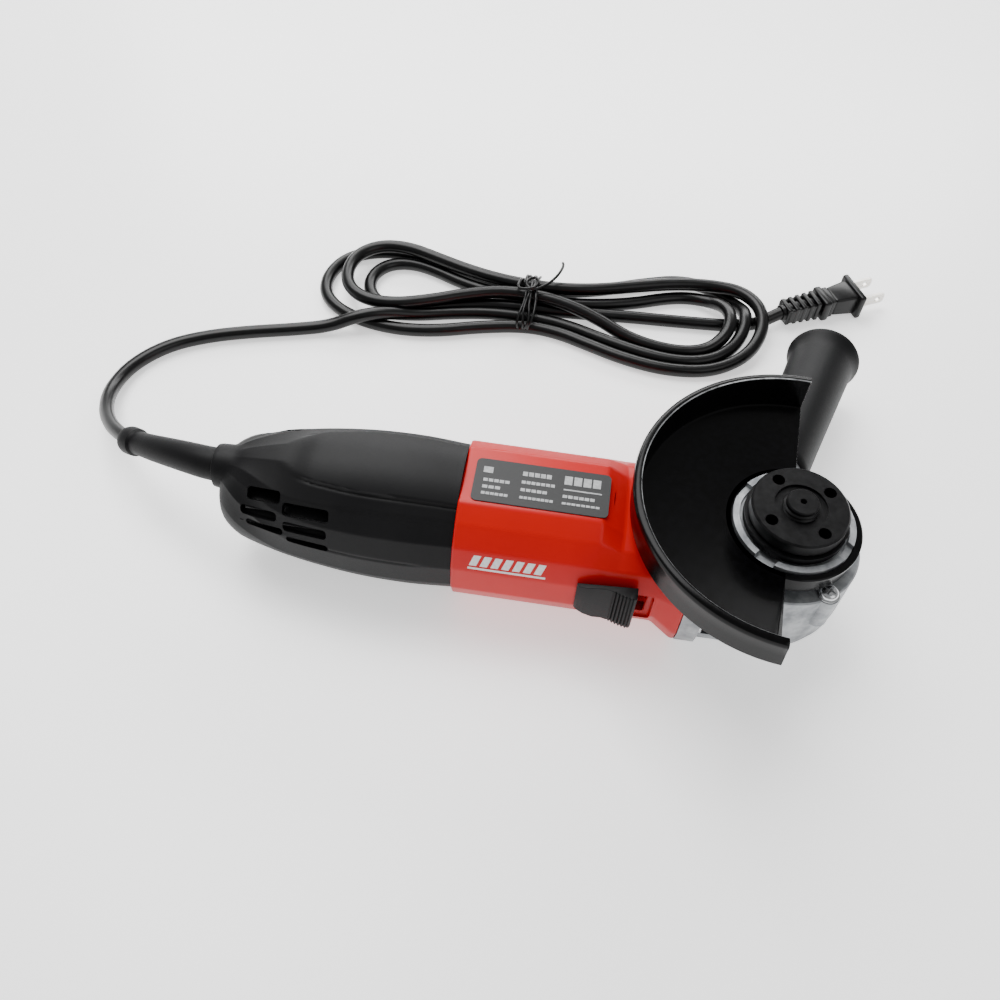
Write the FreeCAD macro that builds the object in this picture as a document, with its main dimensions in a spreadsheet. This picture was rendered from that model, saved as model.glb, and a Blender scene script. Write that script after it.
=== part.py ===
import FreeCAD
import Part
import math
import os
import Sketcher
from FreeCAD import Placement, Rotation, Vector

# An angle grinder of the 115 mm class, lying on the crown of its gear case.
# The origin is where the spindle's axis meets the surface it lies on, +Z is up
# the spindle, and +X points from the cord end to the gear head. Millimetres.

sizes = {
    # fits
    "running_gap": 0.03,
    "free_gap": 0.4,
    "axis_height": 32,
    # spindle, inner flange and lock nut
    "spindle_thread_radius": 7,
    "spindle_seat_radius": 6,
    "spindle_top_journal": 4,
    "spindle_shoulder_radius": 7.6,
    "spindle_tip_height": "=axis_height + 41.1",
    "spindle_low_end": 6.5,
    "thread_chamfer": 1.6,
    "centre_hole_radius": 1.2,
    "flange_seat_height": "=axis_height + 25.4",
    "flange_radius": 20.3,
    "flange_hub_radius": 14,
    "flange_hub_height": 2.2,
    "flange_height": 6,
    "pilot_radius": 11.1,
    "pilot_height": 1.6,
    "nut_radius": 19.1,
    "nut_height": 6,
    "nut_gap": 0.6,
    "nut_recess_radius": 10.35,
    "nut_recess_depth": 1.2,
    "thread_relief": 0.3,
    "nut_hole_radius": 2.5,
    "nut_hole_circle": 14.2,
    # gears
    "pinion_teeth": 12,
    "gear_teeth": 37,
    "gear_pitch_radius": 19.5,
    "tooth_face": 5.9,
    "tooth_addendum": 0.92,
    "tooth_dedendum": 1.25,
    "tooth_share": 0.43,
    "gear_back_height": "=axis_height + 11.3",
    "gear_rim_radius": 23.4,
    "gear_rim_thickness": 2.8,
    "gear_hub_radius": 9,
    "notch_count": 6,
    # gear case and bearing box
    "head_radius": 30,
    "head_top": "=axis_height + 11.6",
    "head_cavity_radius": 25,
    "head_cavity_floor": 15.5,
    "crown_radius": 15,
    "crown_wall": 5,
    "box_plate": 3.2,
    "box_neck_radius": 24,
    "box_rim_radius": 21.5,
    "box_top": "=axis_height + 28.5",
    "box_recess_floor": "=axis_height + 25",
    "box_notch": 8,
    "case_screw_spread_x": 16,
    "case_screw_spread_y": 23,
    "case_ear_radius": 4.6,
    "flange_face": -37,
    "case_flange": 8,
    # bearings
    "spindle_bearing_radius": 16,
    "spindle_bearing_width": 10,
    "spindle_bearing_low": "=axis_height + 12.6",
    "needle_radius": 6,
    "needle_length": 9,
    "front_bearing_radius": 11,
    "front_bearing_width": 7,
    "front_journal": 4,
    "rear_bearing_radius": 9.5,
    "rear_bearing_width": 6,
    "rear_journal": 3.5,
    "bearing_sleeve_wall": 1.5,
    # motor
    "shaft_radius": 5,
    "core_radius": 17,
    "core_back": -122,
    "core_front": -78,
    "coil_length": 7,
    "stator_radius": 26.2,
    "stator_bore": 17.6,
    "stator_flat": 22.6,
    "commutator_radius": 11.5,
    "commutator_back": -147,
    "commutator_front": -133,
    "fan_back": -58,
    "fan_front": -46,
    "fan_radius": 19.4,
    "fan_blades": 11,
    "brush_x": -140,
    "brush_width": 5,
    "brush_breadth": 8,
    "brush_length": 9,
    "brush_tube_wall": 1.2,
    # motor housing
    "housing_back": -131,
    "housing_step_back": -72,
    "housing_step_front": -66,
    "housing_slope": -46,
    "housing_half_width": 31.3,
    "housing_top": 29,
    "housing_step_top": 22.6,
    "housing_flange_top": 17.6,
    "flange_half_width": 33.5,
    "fan_room_radius": 20.6,
    "bridge_radius": 22.5,
    "bridge_wall": 2,
    "bridge_end": -161,
    "spigot_length": 6,
    "spigot_wall": 1.2,
    "label_length": 54,
    "label_width": 21,
    "label_front": -72.5,
    "label_thickness": 0.6,
    # rear cover
    "cover_wall": 2.6,
    "cover_front_radius": 30.3,
    "cover_belly_radius": 31.7,
    "boss_height": 43,
    "boss_radius": 8.8,
    "boss_end": -240,
    "cover_screw_x": -152,
    "clamp_x": -208.5,
    "clamp_width": 4,
    # slide switch
    "slider_back": -80.5,
    "slider_front": -56.8,
    "slider_low": "=axis_height - 9",
    "slider_high": "=axis_height + 13",
    "slider_rise": 6,
    "slot_low": "=axis_height - 12",
    "slot_high": "=axis_height + 7.5",
    "slot_depth": 3.5,
    "slider_travel": 6,
    "slot_front": "=slider_front + slider_travel + 1",
    "rod_height": 6,
    "rod_thickness": 2,
    "rod_offset": 24.6,
    "rod_back": -182,
    # spindle lock
    "lock_angle": 130,
    "lock_circle": 22.6,
    "lock_pin_radius": 2.5,
    "lock_button_radius": 5.5,
    "lock_button_height": 4,
    "lock_button_low": 1.5,
    "lock_travel": 5,
    "lock_pocket_floor": 13.5,
    # wheel guard
    "guard_radius": 64.5,
    "guard_inner_radius": 61.8,
    "guard_low": "=axis_height + 25.6",
    "guard_sheet": 1.5,
    "guard_rim_top": "=axis_height + 43",
    "guard_turn": -5,
    "guard_near_end": -5.5,
    "guard_collar_radius": 27,
    "clamp_low": "=axis_height + 18.9",
    "clamp_wall": 2.4,
    "clamp_slit_angle": 150,
    "lug_reach": 36,
    # side handle
    "handle_lean": 18,
    "handle_droop": 9,
    "handle_x": -0.6,
    "handle_y": 42,
    "handle_z": "=axis_height + 4.8",
    "handle_length": 96,
    "handle_root_radius": 13.2,
    "handle_end_radius": 15.4,
    "handle_flare_radius": 17.6,
    "stud_radius": 4,
    "handle_boss_radius": 11.5,
    "spare_boss_x": -12,
    "spare_boss_y": 32.5,
    "spare_boss_z": "=axis_height + 1",
    "spare_boss_radius": 9,
    # cord and plug
    "cord_radius": 3.4,
    "guard_foot": 23,
    "relief_root_radius": 7,
    "relief_end_radius": 5.4,
    "relief_collar_radius": 6.3,
    "hank_height": 15,
    "tie_wire": 1.4,
    "plug_height": 7.6,
    "plug_x": 12.5,
    "plug_y": 178.5,
    "plug_turn": 28,
    "plug_face_width": 21,
    "plug_face_height": 15,
    "blade_gap": 12.7,
    "blade_length": 15.5,
}

doc = FreeCAD.newDocument("AngleGrinder")
sheet = doc.addObject("Spreadsheet::Sheet", "Sizes")
for row, (name, value) in enumerate(sizes.items(), start=1):
    sheet.set("A%d" % row, name)
    sheet.set("B%d" % row, str(value))
    sheet.setAlias("B%d" % row, name)
doc.recompute()


class Dim:
    # a size that carries its number and its formula in the sheet's cells
    def __init__(self, value, text):
        self.value = value
        self.text = text

    def __float__(self):
        return float(self.value)

    def __add__(self, other):
        return Dim(self.value + float(other), "(%s + %s)" % (self.text, formula(other)))

    def __radd__(self, other):
        return self + other

    def __sub__(self, other):
        return Dim(self.value - float(other), "(%s - %s)" % (self.text, formula(other)))

    def __rsub__(self, other):
        return Dim(float(other) - self.value, "(%s - %s)" % (formula(other), self.text))

    def __mul__(self, other):
        return Dim(self.value * float(other), "(%s * %s)" % (self.text, formula(other)))

    def __rmul__(self, other):
        return self * other

    def __truediv__(self, other):
        return Dim(self.value / float(other), "(%s / %s)" % (self.text, formula(other)))

    def __neg__(self):
        return Dim(-self.value, "(0 - %s)" % self.text)


def formula(value):
    return value.text if isinstance(value, Dim) else "%.9g" % float(value)


class SheetCells:
    # S.alias is that cell as a Dim
    def __getattr__(self, alias):
        return Dim(float(sheet.get(alias)), "Sizes." + alias)


S = SheetCells()
finished_parts = {}


def vec(x, y, z):
    return Vector(float(x), float(y), float(z))


def place(target, at, turn=None):
    target.Placement = Placement(vec(*at), turn or Rotation())
    for letter, value in zip("xyz", at):
        if isinstance(value, Dim):
            target.setExpression("Placement.Base." + letter, value.text)
    return target


turn_to = {"Z": Rotation(), "X": Rotation(Vector(0, 1, 0), 90), "Y": Rotation(Vector(1, 0, 0), -90)}


def made(kind, name, at, turn, **lengths):
    target = doc.addObject(kind, name)
    for prop, value in lengths.items():
        target.setExpression(prop, formula(value))
    return place(target, at, turn)


def cylinder(name, radius, length, at=(0, 0, 0), along="Z", turn=None):
    return made("Part::Cylinder", name, at, turn or turn_to[along], Radius=radius, Height=length)


def cone(name, low_radius, high_radius, length, at=(0, 0, 0), along="Z", turn=None):
    turn = turn or turn_to[along]
    return made("Part::Cone", name, at, turn, Radius1=low_radius, Radius2=high_radius, Height=length)


def block(name, low, high, turn=None):
    # a box from its low corner to its high corner, turned about its low corner
    spans = [b - a for a, b in zip(low, high)]
    return made("Part::Box", name, low, turn, Length=spans[0], Width=spans[1], Height=spans[2])


def fused(name, pieces):
    target = doc.addObject("Part::MultiFuse", name)
    target.Shapes = pieces
    return target


def grouped(name, pieces):
    target = doc.addObject("Part::Compound", name)
    target.Links = pieces
    return target


def cut(name, base, tools):
    target = doc.addObject("Part::Cut", name)
    target.Base = base
    target.Tool = tools[0] if len(tools) == 1 else grouped(name + "_tools", tools)
    return target


def common(name, pieces):
    target = doc.addObject("Part::MultiCommon", name)
    target.Shapes = pieces
    return target


def closed_sketch(body, name, plane_role, outline):
    # a closed outline whose corners are held by distances from the sheet
    sketch = body.newObject("Sketcher::SketchObject", name)
    plane = [f for f in body.Origin.OriginFeatures if f.Role == plane_role][0]
    sketch.AttachmentSupport = [(plane, "")]
    sketch.MapMode = "FlatFace"
    corners = [Vector(float(a), float(b), 0) for a, b in outline]
    count = len(corners)
    for i in range(count):
        sketch.addGeometry(Part.LineSegment(corners[i], corners[(i + 1) % count]))
    for i in range(count):
        sketch.addConstraint(Sketcher.Constraint("Coincident", i, 2, (i + 1) % count, 1))
    for i, point in enumerate(outline):
        for kind, value in zip(("DistanceX", "DistanceY"), point):
            held = sketch.addConstraint(Sketcher.Constraint(kind, -1, 1, i, 1, float(value)))
            if isinstance(value, Dim):
                sketch.setExpression("Constraints[%d]" % held, value.text)
    return sketch


def turned(name, outline, along="Z", at=(0, 0, 0), turn=None):
    # a turned piece: (radius, height) corners about Z, or (x, radius) corners about X
    body = doc.addObject("PartDesign::Body", name)
    sketch = closed_sketch(body, name + "_outline", "XZ_Plane", outline)
    spun = body.newObject("PartDesign::Revolution", name + "_turned")
    spun.Profile = sketch
    spun.ReferenceAxis = (sketch, ["V_Axis" if along == "Z" else "H_Axis"])
    spun.Angle = 360
    return place(body, at, turn)


def padded(name, outline, plane_role, length, at=(0, 0, 0), turn=None):
    # a flat outline made solid, from its plane along the plane's normal
    body = doc.addObject("PartDesign::Body", name)
    sketch = closed_sketch(body, name + "_outline", plane_role, outline)
    pad = body.newObject("PartDesign::Pad", name + "_pad")
    pad.Profile = sketch
    pad.setExpression("Length", formula(length))
    return place(body, at, turn)


def feature(name, shape, at=(0, 0, 0), turn=None):
    target = doc.addObject("Part::Feature", name)
    target.Shape = shape
    target.Placement = Placement(vec(*at), turn or Rotation())
    return target


def finish(label, target):
    target.Label = label
    finished_parts[label] = target
    return target


def round_the_axis(count, start=0.0):
    steps = int(float(count))
    return [math.radians(start + 360.0 * i / steps) for i in range(steps)]


def on_circle(radius, degrees):
    # a point on a circle about Z, as two coordinates that follow the radius
    angle = math.radians(float(degrees))
    return radius * math.cos(angle), radius * math.sin(angle)


def screw(name, head_radius, head_height, shank_radius, shank_length, at, turn=None):
    # a pan head above its seat and a shank below it, with a cross recess in the head
    head = cylinder(name + "_head", head_radius, head_height)
    shank = cylinder(name + "_shank", shank_radius, shank_length + 1, at=(0, 0, -shank_length))
    body = fused(name + "_body", [head, shank])
    long_slot = head_radius * 0.55
    slots = []
    for i in range(2):
        low = (-long_slot, head_radius * -0.12, head_height * 0.5)
        high = (long_slot, head_radius * 0.12, head_height + 1)
        if i:
            low = (low[1], low[0], low[2])
            high = (high[1], high[0], high[2])
        slots.append(block("%s_slot%d" % (name, i), low, high))
    return place(cut(name, body, slots), at, turn)


# ---- gears: straight bevel teeth that all point to where the two axes cross

apex = Vector(0, 0, float(S.axis_height))
pitch = math.tau * float(S.gear_pitch_radius) / float(S.gear_teeth)
pinion_pitch_radius = float(S.gear_pitch_radius * S.pinion_teeth / S.gear_teeth)
inner_share = 1 - float(S.tooth_face) / math.hypot(float(S.gear_pitch_radius), pinion_pitch_radius)
pressure_slope = math.tan(math.radians(20))
half_thickness = pitch * float(S.tooth_share) / 2
tip_half = half_thickness - float(S.tooth_addendum) * pressure_slope
root_half = half_thickness + float(S.tooth_dedendum) * pressure_slope


def towards_apex(points, share):
    return [apex + (p - apex) * share for p in points]


def closed_wire(points):
    return Part.makePolygon(points + points[:1])


def ring_gear():
    # teeth face down; the thin rim above them is notched for the lock pin
    pitch_radius, base = float(S.gear_pitch_radius), float(S.axis_height)
    outer, inner = pitch_radius + 0.4, pitch_radius * inner_share
    tip_slope = (pinion_pitch_radius - float(S.tooth_addendum)) / pitch_radius
    root_slope = (pinion_pitch_radius + float(S.tooth_dedendum)) / pitch_radius
    rim_low = S.gear_back_height - S.gear_rim_thickness
    bore = S.spindle_seat_radius - S.running_gap
    outline = [
        (bore, base + inner * root_slope),
        (inner, base + inner * root_slope),
        (inner, base + inner * tip_slope),
        (outer, base + outer * tip_slope),
        (outer, rim_low),
        (S.gear_rim_radius, rim_low),
        (S.gear_rim_radius, S.gear_back_height),
        (bore, S.gear_back_height),
    ]
    blank = turned("gear_blank", outline)
    notches = []
    for i, angle in enumerate(round_the_axis(S.notch_count, float(S.lock_angle))):
        x, y = S.lock_circle * math.cos(angle), S.lock_circle * math.sin(angle)
        notch = cylinder("gear_notch%d" % i, S.lock_pin_radius + 1.1, 6, at=(x, y, rim_low - 0.4))
        notches.append(notch)
    notched = cut("gear_notched", blank, notches)
    doc.recompute()
    # the gap between two teeth is one wedge that narrows towards the apex
    over = float(S.tooth_addendum) + 0.7
    gap_root = pitch / 2 - root_half
    gap_mouth = pitch / 2 - half_thickness + over * pressure_slope
    depth = float(S.tooth_dedendum)
    corners = [(-gap_root, depth), (-gap_mouth, -over), (gap_mouth, -over), (gap_root, depth)]
    section = [Vector(pitch_radius, y, base + pinion_pitch_radius + z) for y, z in corners]
    ends = [closed_wire(towards_apex(section, share)) for share in (1.06, inner_share - 0.06)]
    gap = Part.makeLoft(ends, True, True)
    gaps = []
    for angle in round_the_axis(S.gear_teeth, 180):
        gaps.append(gap.rotated(Vector(), Vector(0, 0, 1), math.degrees(angle)))
    return finish("ring_gear", feature("ring_gear", notched.Shape.cut(gaps)))


def involute(angle):
    return math.tan(angle) - angle


def pinion():
    pitch_radius = pinion_pitch_radius
    base_radius = pitch_radius * math.cos(math.radians(20))
    tip = pitch_radius + float(S.tooth_addendum)
    root = pitch_radius - float(S.tooth_dedendum)
    half_pitch = math.pi / float(S.pinion_teeth) * 2 * float(S.tooth_share) / 2
    at_base = half_pitch + involute(math.radians(20))
    flank = [(root, at_base * 0.92), (base_radius, at_base)]
    for share in (0.5, 1.0):
        radius = base_radius + (tip - base_radius) * share
        flank.append((radius, at_base - involute(math.acos(base_radius / radius))))
    section = []
    for middle in round_the_axis(S.pinion_teeth, 90.0):
        for radius, half in flank:
            section.append((radius, middle - half))
        for radius, half in reversed(flank):
            section.append((radius, middle + half))
    points = []
    for radius, angle in section:
        y, z = radius * math.cos(angle), radius * math.sin(angle)
        points.append(Vector(-float(S.gear_pitch_radius), y, z + float(S.axis_height)))
    wires = [closed_wire(towards_apex(points, share)) for share in (1.0, inner_share)]
    toothed = Part.makeLoft(wires, True, True)
    at = vec(pinion_back, 0, S.axis_height)
    hub_length = -float(S.gear_pitch_radius) - float(pinion_back)
    hub = Part.makeCylinder(root + 0.3, hub_length, at, Vector(1, 0, 0))
    bore = Part.makeCylinder(float(pinion_seat), 40, at, Vector(1, 0, 0))
    return finish("pinion", feature("pinion", toothed.fuse(hub).cut(bore)))


pinion_back = S.flange_face + S.front_bearing_width + 6
pinion_seat = S.front_journal - 1
pinion_front = -S.gear_pitch_radius * inner_share


# ---- spindle and what turns with it

nut_low = S.flange_seat_height + S.flange_height + S.nut_gap
thread = S.spindle_thread_radius


def spindle():
    seat = S.spindle_seat_radius - S.running_gap
    journal = S.spindle_top_journal - S.running_gap
    bearing_top = S.spindle_bearing_low + S.spindle_bearing_width
    tip = S.spindle_tip_height
    journal_top = S.spindle_low_end + S.needle_length + 1
    nut_face = nut_low + S.nut_height - S.nut_recess_depth
    outline = [
        (0, S.spindle_low_end),
        (journal, S.spindle_low_end),
        (journal, journal_top),
        (seat, journal_top + 2),
        (seat, bearing_top),
        (S.spindle_shoulder_radius, bearing_top),
        (S.spindle_shoulder_radius, S.flange_seat_height),
        (thread - S.thread_relief, S.flange_seat_height),
        (thread - S.thread_relief, nut_face),
        (thread, nut_face + S.thread_relief),
        (thread, tip - S.thread_chamfer),
        (thread - S.thread_chamfer, tip),
        (S.centre_hole_radius, tip),
        (S.centre_hole_radius, tip - 3),
        (0, tip - 3.6),
    ]
    return finish("spindle", turned("spindle", outline))


def inner_flange():
    base = S.flange_seat_height
    step = base + S.flange_hub_height
    top = base + S.flange_height
    bore = thread + 0.05
    outline = [
        (bore, base),
        (S.flange_hub_radius, base),
        (S.flange_hub_radius, step),
        (S.flange_radius - 0.6, step),
        (S.flange_radius, step + 0.6),
        (S.flange_radius, top),
        (S.pilot_radius, top),
        (S.pilot_radius, top + S.pilot_height - 0.4),
        (S.pilot_radius - 0.4, top + S.pilot_height),
        (bore, top + S.pilot_height),
    ]
    return finish("inner_flange", turned("inner_flange", outline))


def lock_nut():
    top = nut_low + S.nut_height
    bore = thread + 0.05
    recess = S.pilot_radius + 0.3
    recess_top = nut_low + S.pilot_height
    outline = [
        (bore, recess_top),
        (recess, recess_top),
        (recess, nut_low),
        (S.nut_radius - 0.5, nut_low),
        (S.nut_radius, nut_low + 0.5),
        (S.nut_radius, top - 0.7),
        (S.nut_radius - 0.7, top),
        (S.nut_recess_radius, top),
        (S.nut_recess_radius, top - S.nut_recess_depth),
        (bore, top - S.nut_recess_depth),
    ]
    blank = turned("nut_blank", outline)
    holes = []
    for i in range(4):
        x, y = on_circle(S.nut_hole_circle, 36.4 + 90 * i)
        holes.append(cylinder("nut_hole%d" % i, S.nut_hole_radius, 20, at=(x, y, nut_low - 5)))
    return finish("lock_nut", cut("lock_nut", blank, holes))


# ---- bearings

def bearing(label, radius, bore, width, at, along):
    # a sealed bearing: rings flush with its faces, shields set back between them
    third = (radius - bore) * 0.3
    if along == "Z":
        rows = [(bore, 0), (bore + third, 0), (bore + third, 0.5), (radius - third, 0.5)]
        rows += [(radius - third, 0), (radius, 0), (radius, width), (radius - third, width)]
        rows += [(radius - third, width - 0.5), (bore + third, width - 0.5)]
        rows += [(bore + third, width), (bore, width)]
    else:
        rows = [(0, bore), (0, bore + third), (0.5, bore + third), (0.5, radius - third)]
        rows += [(0, radius - third), (0, radius), (width, radius), (width, radius - third)]
        rows += [(width - 0.5, radius - third), (width - 0.5, bore + third)]
        rows += [(width, bore + third), (width, bore)]
    return finish(label, turned(label, rows, along=along, at=at))


rear_bearing_x = S.commutator_back - 10
front_bearing_x = S.flange_face + 1


def bearings():
    height = S.axis_height
    low = S.spindle_bearing_low
    seat = S.spindle_seat_radius
    bearing("spindle_bearing", S.spindle_bearing_radius, seat, S.spindle_bearing_width, (0, 0, low), "Z")
    low = S.spindle_low_end + 0.5
    bearing("needle_bearing", S.needle_radius, S.spindle_top_journal, S.needle_length, (0, 0, low), "Z")
    at = (front_bearing_x, 0, height)
    bearing("front_bearing", S.front_bearing_radius, S.front_journal, S.front_bearing_width, at, "X")
    at = (rear_bearing_x, 0, height)
    bearing("rear_bearing", S.rear_bearing_radius, S.rear_journal, S.rear_bearing_width, at, "X")
    inner, outer = S.rear_bearing_radius, S.rear_bearing_radius + S.bearing_sleeve_wall
    width = S.rear_bearing_width
    rows = [(0, inner), (0, outer), (width, outer), (width, inner)]
    finish("bearing_sleeve", turned("bearing_sleeve", rows, along="X", at=at))
    # the plate that keeps the spindle's bearing in its box
    low = S.head_top
    rows = [(S.spindle_bearing_radius - 3, low), (S.spindle_bearing_radius + 3, low)]
    rows += [(S.spindle_bearing_radius + 3, S.spindle_bearing_low)]
    rows += [(S.spindle_bearing_radius - 3, S.spindle_bearing_low)]
    finish("bearing_retainer", turned("bearing_retainer", rows))


# ---- motor

def armature():
    height = S.axis_height
    rear, front = S.rear_journal - S.running_gap, S.front_journal - S.running_gap
    core = S.shaft_radius
    outline = [
        (rear_bearing_x - 1, 0),
        (rear_bearing_x - 1, rear),
        (rear_bearing_x + S.rear_bearing_width + 0.3, rear),
        (rear_bearing_x + S.rear_bearing_width + 0.3, core),
        (front_bearing_x - 0.3, core),
        (front_bearing_x - 0.3, front),
        (pinion_back, front),
        (pinion_back, pinion_seat),
        (pinion_front + 4.4, pinion_seat),
        (pinion_front + 4.4, 0),
    ]
    finish("armature_shaft", turned("armature_shaft", outline, along="X", at=(0, 0, height)))

    length = S.core_front - S.core_back
    at = (S.core_back, 0, height)
    stack = cylinder("core_stack", S.core_radius, length, at, "X")
    cuts = [cylinder("core_bore", core, length, at, "X")]
    for i, angle in enumerate(round_the_axis(12)):
        y = (S.core_radius - 2) * math.cos(angle)
        z = height + (S.core_radius - 2) * math.sin(angle)
        cuts.append(cylinder("core_slot%d" % i, 1.5, length, (S.core_back, y, z), "X"))
        turn = Rotation(Vector(1, 0, 0), math.degrees(angle))
        mouth = made(
            "Part::Box",
            "core_mouth%d" % i,
            (S.core_back, y + 0.5 * math.sin(angle), z - 0.5 * math.cos(angle)),
            turn,
            Length=length,
            Width=3,
            Height=1,
        )
        cuts.append(mouth)
    finish("armature_core", cut("armature_core", stack, cuts))

    rings = []
    for i, x in enumerate((S.core_back - S.coil_length, S.core_front)):
        rows = [(0, core), (0, core + 6), (2, core + 10), (5, core + 10), (S.coil_length, core + 7)]
        rows += [(S.coil_length, core)]
        if i == 0:
            rows = [(S.coil_length - a, b) for a, b in reversed(rows)]
        rings.append(turned("coil_ring%d" % i, rows, along="X", at=(x, 0, height)))
    finish("armature_coils", grouped("armature_coils", rings))

    length = S.commutator_front - S.commutator_back
    at = (S.commutator_back, 0, height)
    drum = cylinder("commutator_drum", S.commutator_radius, length, at, "X")
    cuts = [cylinder("commutator_bore", core, length, at, "X")]
    for i, angle in enumerate(round_the_axis(24)):
        turn = Rotation(Vector(1, 0, 0), math.degrees(angle))
        y = (S.commutator_radius - 0.8) * math.cos(angle)
        z = height + (S.commutator_radius - 0.8) * math.sin(angle)
        groove = made("Part::Box", "bar_gap%d" % i, (at[0], y, z), turn, Length=length, Width=2, Height=0.4)
        cuts.append(groove)
    finish("commutator", cut("commutator", drum, cuts))


def fan():
    height = S.axis_height
    at = (S.fan_back, 0, height)
    length = S.fan_front - S.fan_back
    pieces = [cylinder("fan_disc", S.fan_radius, 1.6, at, "X")]
    pieces.append(cylinder("fan_hub", S.shaft_radius + 3.5, length, at, "X"))
    for i, angle in enumerate(round_the_axis(S.fan_blades)):
        turn = Rotation(Vector(1, 0, 0), math.degrees(angle))
        start = S.shaft_radius + 2.8
        y, z = start * math.cos(angle), height + start * math.sin(angle)
        span = S.fan_radius - start - 0.4
        corner = (S.fan_back, y, z)
        blade = made("Part::Box", "fan_blade%d" % i, corner, turn, Length=length, Width=span, Height=1.3)
        pieces.append(blade)
    solid = fused("fan_solid", pieces)
    finish("fan", cut("fan", solid, [cylinder("fan_bore", S.shaft_radius, length + 2, at, "X")]))
    # the ring in front of the coils that leads the air into the fan
    room = S.fan_room_radius - 0.1
    rows = [(-4, room), (-1, room), (-1, 13), (-2.2, 13), (-2.2, room - 3), (-4, room - 1.5)]
    finish("fan_baffle", turned("fan_baffle", rows, along="X", at=at))
    # the nut that holds the pinion on the shaft
    at = (pinion_front, 0, height)
    sides = padded("pinion_nut_hexagon", hexagon(4.6), "YZ_Plane", 3.2, at)
    bore = cylinder("pinion_nut_bore", pinion_seat, 8, (pinion_front - 1, 0, height), "X")
    finish("pinion_nut", cut("pinion_nut", sides, [bore]))


def hexagon(across_corners_radius):
    return [
        (across_corners_radius * math.cos(a), across_corners_radius * math.sin(a))
        for a in round_the_axis(6)
    ]


def stator():
    height = S.axis_height
    back, front = S.core_back, S.core_front
    length = front - back
    at = (back, 0, height)
    stack = cylinder("stator_stack", S.stator_radius, length, at, "X")
    cuts = [cylinder("stator_bore", S.stator_bore, length, at, "X")]
    for side in (-1, 1):
        low, high = S.stator_flat * side, (S.stator_radius + 2) * side
        low, high = (low, high) if side > 0 else (high, low)
        cuts.append(block("stator_flat%d" % side, (back, low, height - 30), (front, high, height + 30)))
    channels, coils = [], []
    inner, outer, low, high = S.stator_bore + 0.2, S.stator_bore + 4.2, 5.5, 10.5
    for up in (-1, 1):
        sides = []
        for side in (-1, 1):
            y = (inner, outer) if side > 0 else (-outer, -inner)
            z = (height + low, height + high) if up > 0 else (height - high, height - low)
            name = "%s%d" % ("upper" if up > 0 else "lower", side)
            corners = (back - 1, y[0], z[0]), (front + 1, y[1], z[1])
            channels.append(block("channel_" + name, *corners))
            sides.append(block("coil_side_" + name, (back - 2, y[0], z[0]), (front + 2, y[1], z[1])))
        for i, x in enumerate((back - S.coil_length, front + 0.2)):
            name = "coil_end%d%d" % (up, i)
            ring = cylinder(name + "_outer", S.stator_bore + 7, S.coil_length - 0.2, (x, 0, height), "X")
            hole = cylinder(name + "_inner", inner, S.coil_length, (x, 0, height), "X")
            span = (height + low, height + 40) if up > 0 else (height - 40, height - low)
            keep = block(name + "_half", (x - 1, -40, span[0]), (x + S.coil_length + 1, 40, span[1]))
            sides.append(common(name, [cut(name + "_ring", ring, [hole]), keep]))
        coils.append(fused("coil%d" % up, sides))
    finish("stator_core", cut("stator_core", stack, cuts + channels))
    finish("field_coils", grouped("field_coils", coils))


def brush_gear():
    # two boxes through the bridge, above and below the commutator
    x, height = S.brush_x, S.axis_height
    half_x, half_y = S.brush_width / 2, S.brush_breadth / 2
    wall = S.brush_tube_wall
    start = S.commutator_radius + 0.08
    tube_start, tube_end = S.commutator_radius + 1.5, S.bridge_radius + 3
    tubes, brushes, springs = [], [], []
    for up in (-1, 1):
        def span(low, high):
            return (height + low, height + high) if up > 0 else (height - high, height - low)

        z = span(tube_start, tube_end)
        gap = 0.15
        name = "upper" if up > 0 else "lower"
        outside = block(
            "brush_tube_" + name,
            (x - half_x - wall, -half_y - wall, z[0]),
            (x + half_x + wall, half_y + wall, z[1]),
        )
        z = span(tube_start - 1, tube_end - 1.2)
        inside = block(
            "brush_room_" + name,
            (x - half_x - gap, -half_y - gap, z[0]),
            (x + half_x + gap, half_y + gap, z[1]),
        )
        tubes.append(cut("brush_box_" + name, outside, [inside]))
        z = span(start, start + S.brush_length)
        brushes.append(block("brush_" + name, (x - half_x, -half_y, z[0]), (x + half_x, half_y, z[1])))
        first = start + S.brush_length + 0.05
        coil = coil_spring(1.6, 0.35, float(tube_end - 1.3 - first), 3)
        turn = Rotation() if up > 0 else Rotation(Vector(1, 0, 0), 180)
        at = (x, 0, height + first) if up > 0 else (x, 0, height - first)
        springs.append(feature("brush_spring_" + name, coil, at, turn))
    finish("brush_holders", grouped("brush_holders", tubes))
    finish("carbon_brushes", grouped("carbon_brushes", brushes))
    finish("brush_springs", grouped("brush_springs", springs))


def coil_spring(radius, wire, height, turns):
    # a round wire wound about Z, from z = 0 to its height
    rise = (height - 2 * wire) / turns
    helix = Part.makeHelix(rise, rise * turns, radius)
    start = Vector(radius, 0, 0)
    profile = Part.Wire([Part.makeCircle(wire, start, Vector(0, 1, rise / (math.tau * radius)))])
    coil = Part.Wire(helix.Edges).makePipeShell([profile], True, True)
    coil.translate(Vector(0, 0, wire))
    return coil


# ---- motor housing: sections across the barrel, each a sixteen-sided outline

def section(x, half, height):
    # the right half's (across, up) corners from the top round to the bottom
    left = [(-y, z) for y, z in reversed(half)]
    return closed_wire([vec(x, y, z + float(height)) for y, z in half + left])


def barrel_half(top, width):
    top, width = float(top), float(width)
    facets = [(14, 29), (21.3, 24.2), (27.8, 16.3), (31.3, 7), (31.3, -7), (27.5, -17), (19, -26), (8, -32)]
    share = width / 31.3
    return [(y * share, min(z, top - max(0, y - 14) * 0.15)) for y, z in facets]


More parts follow.
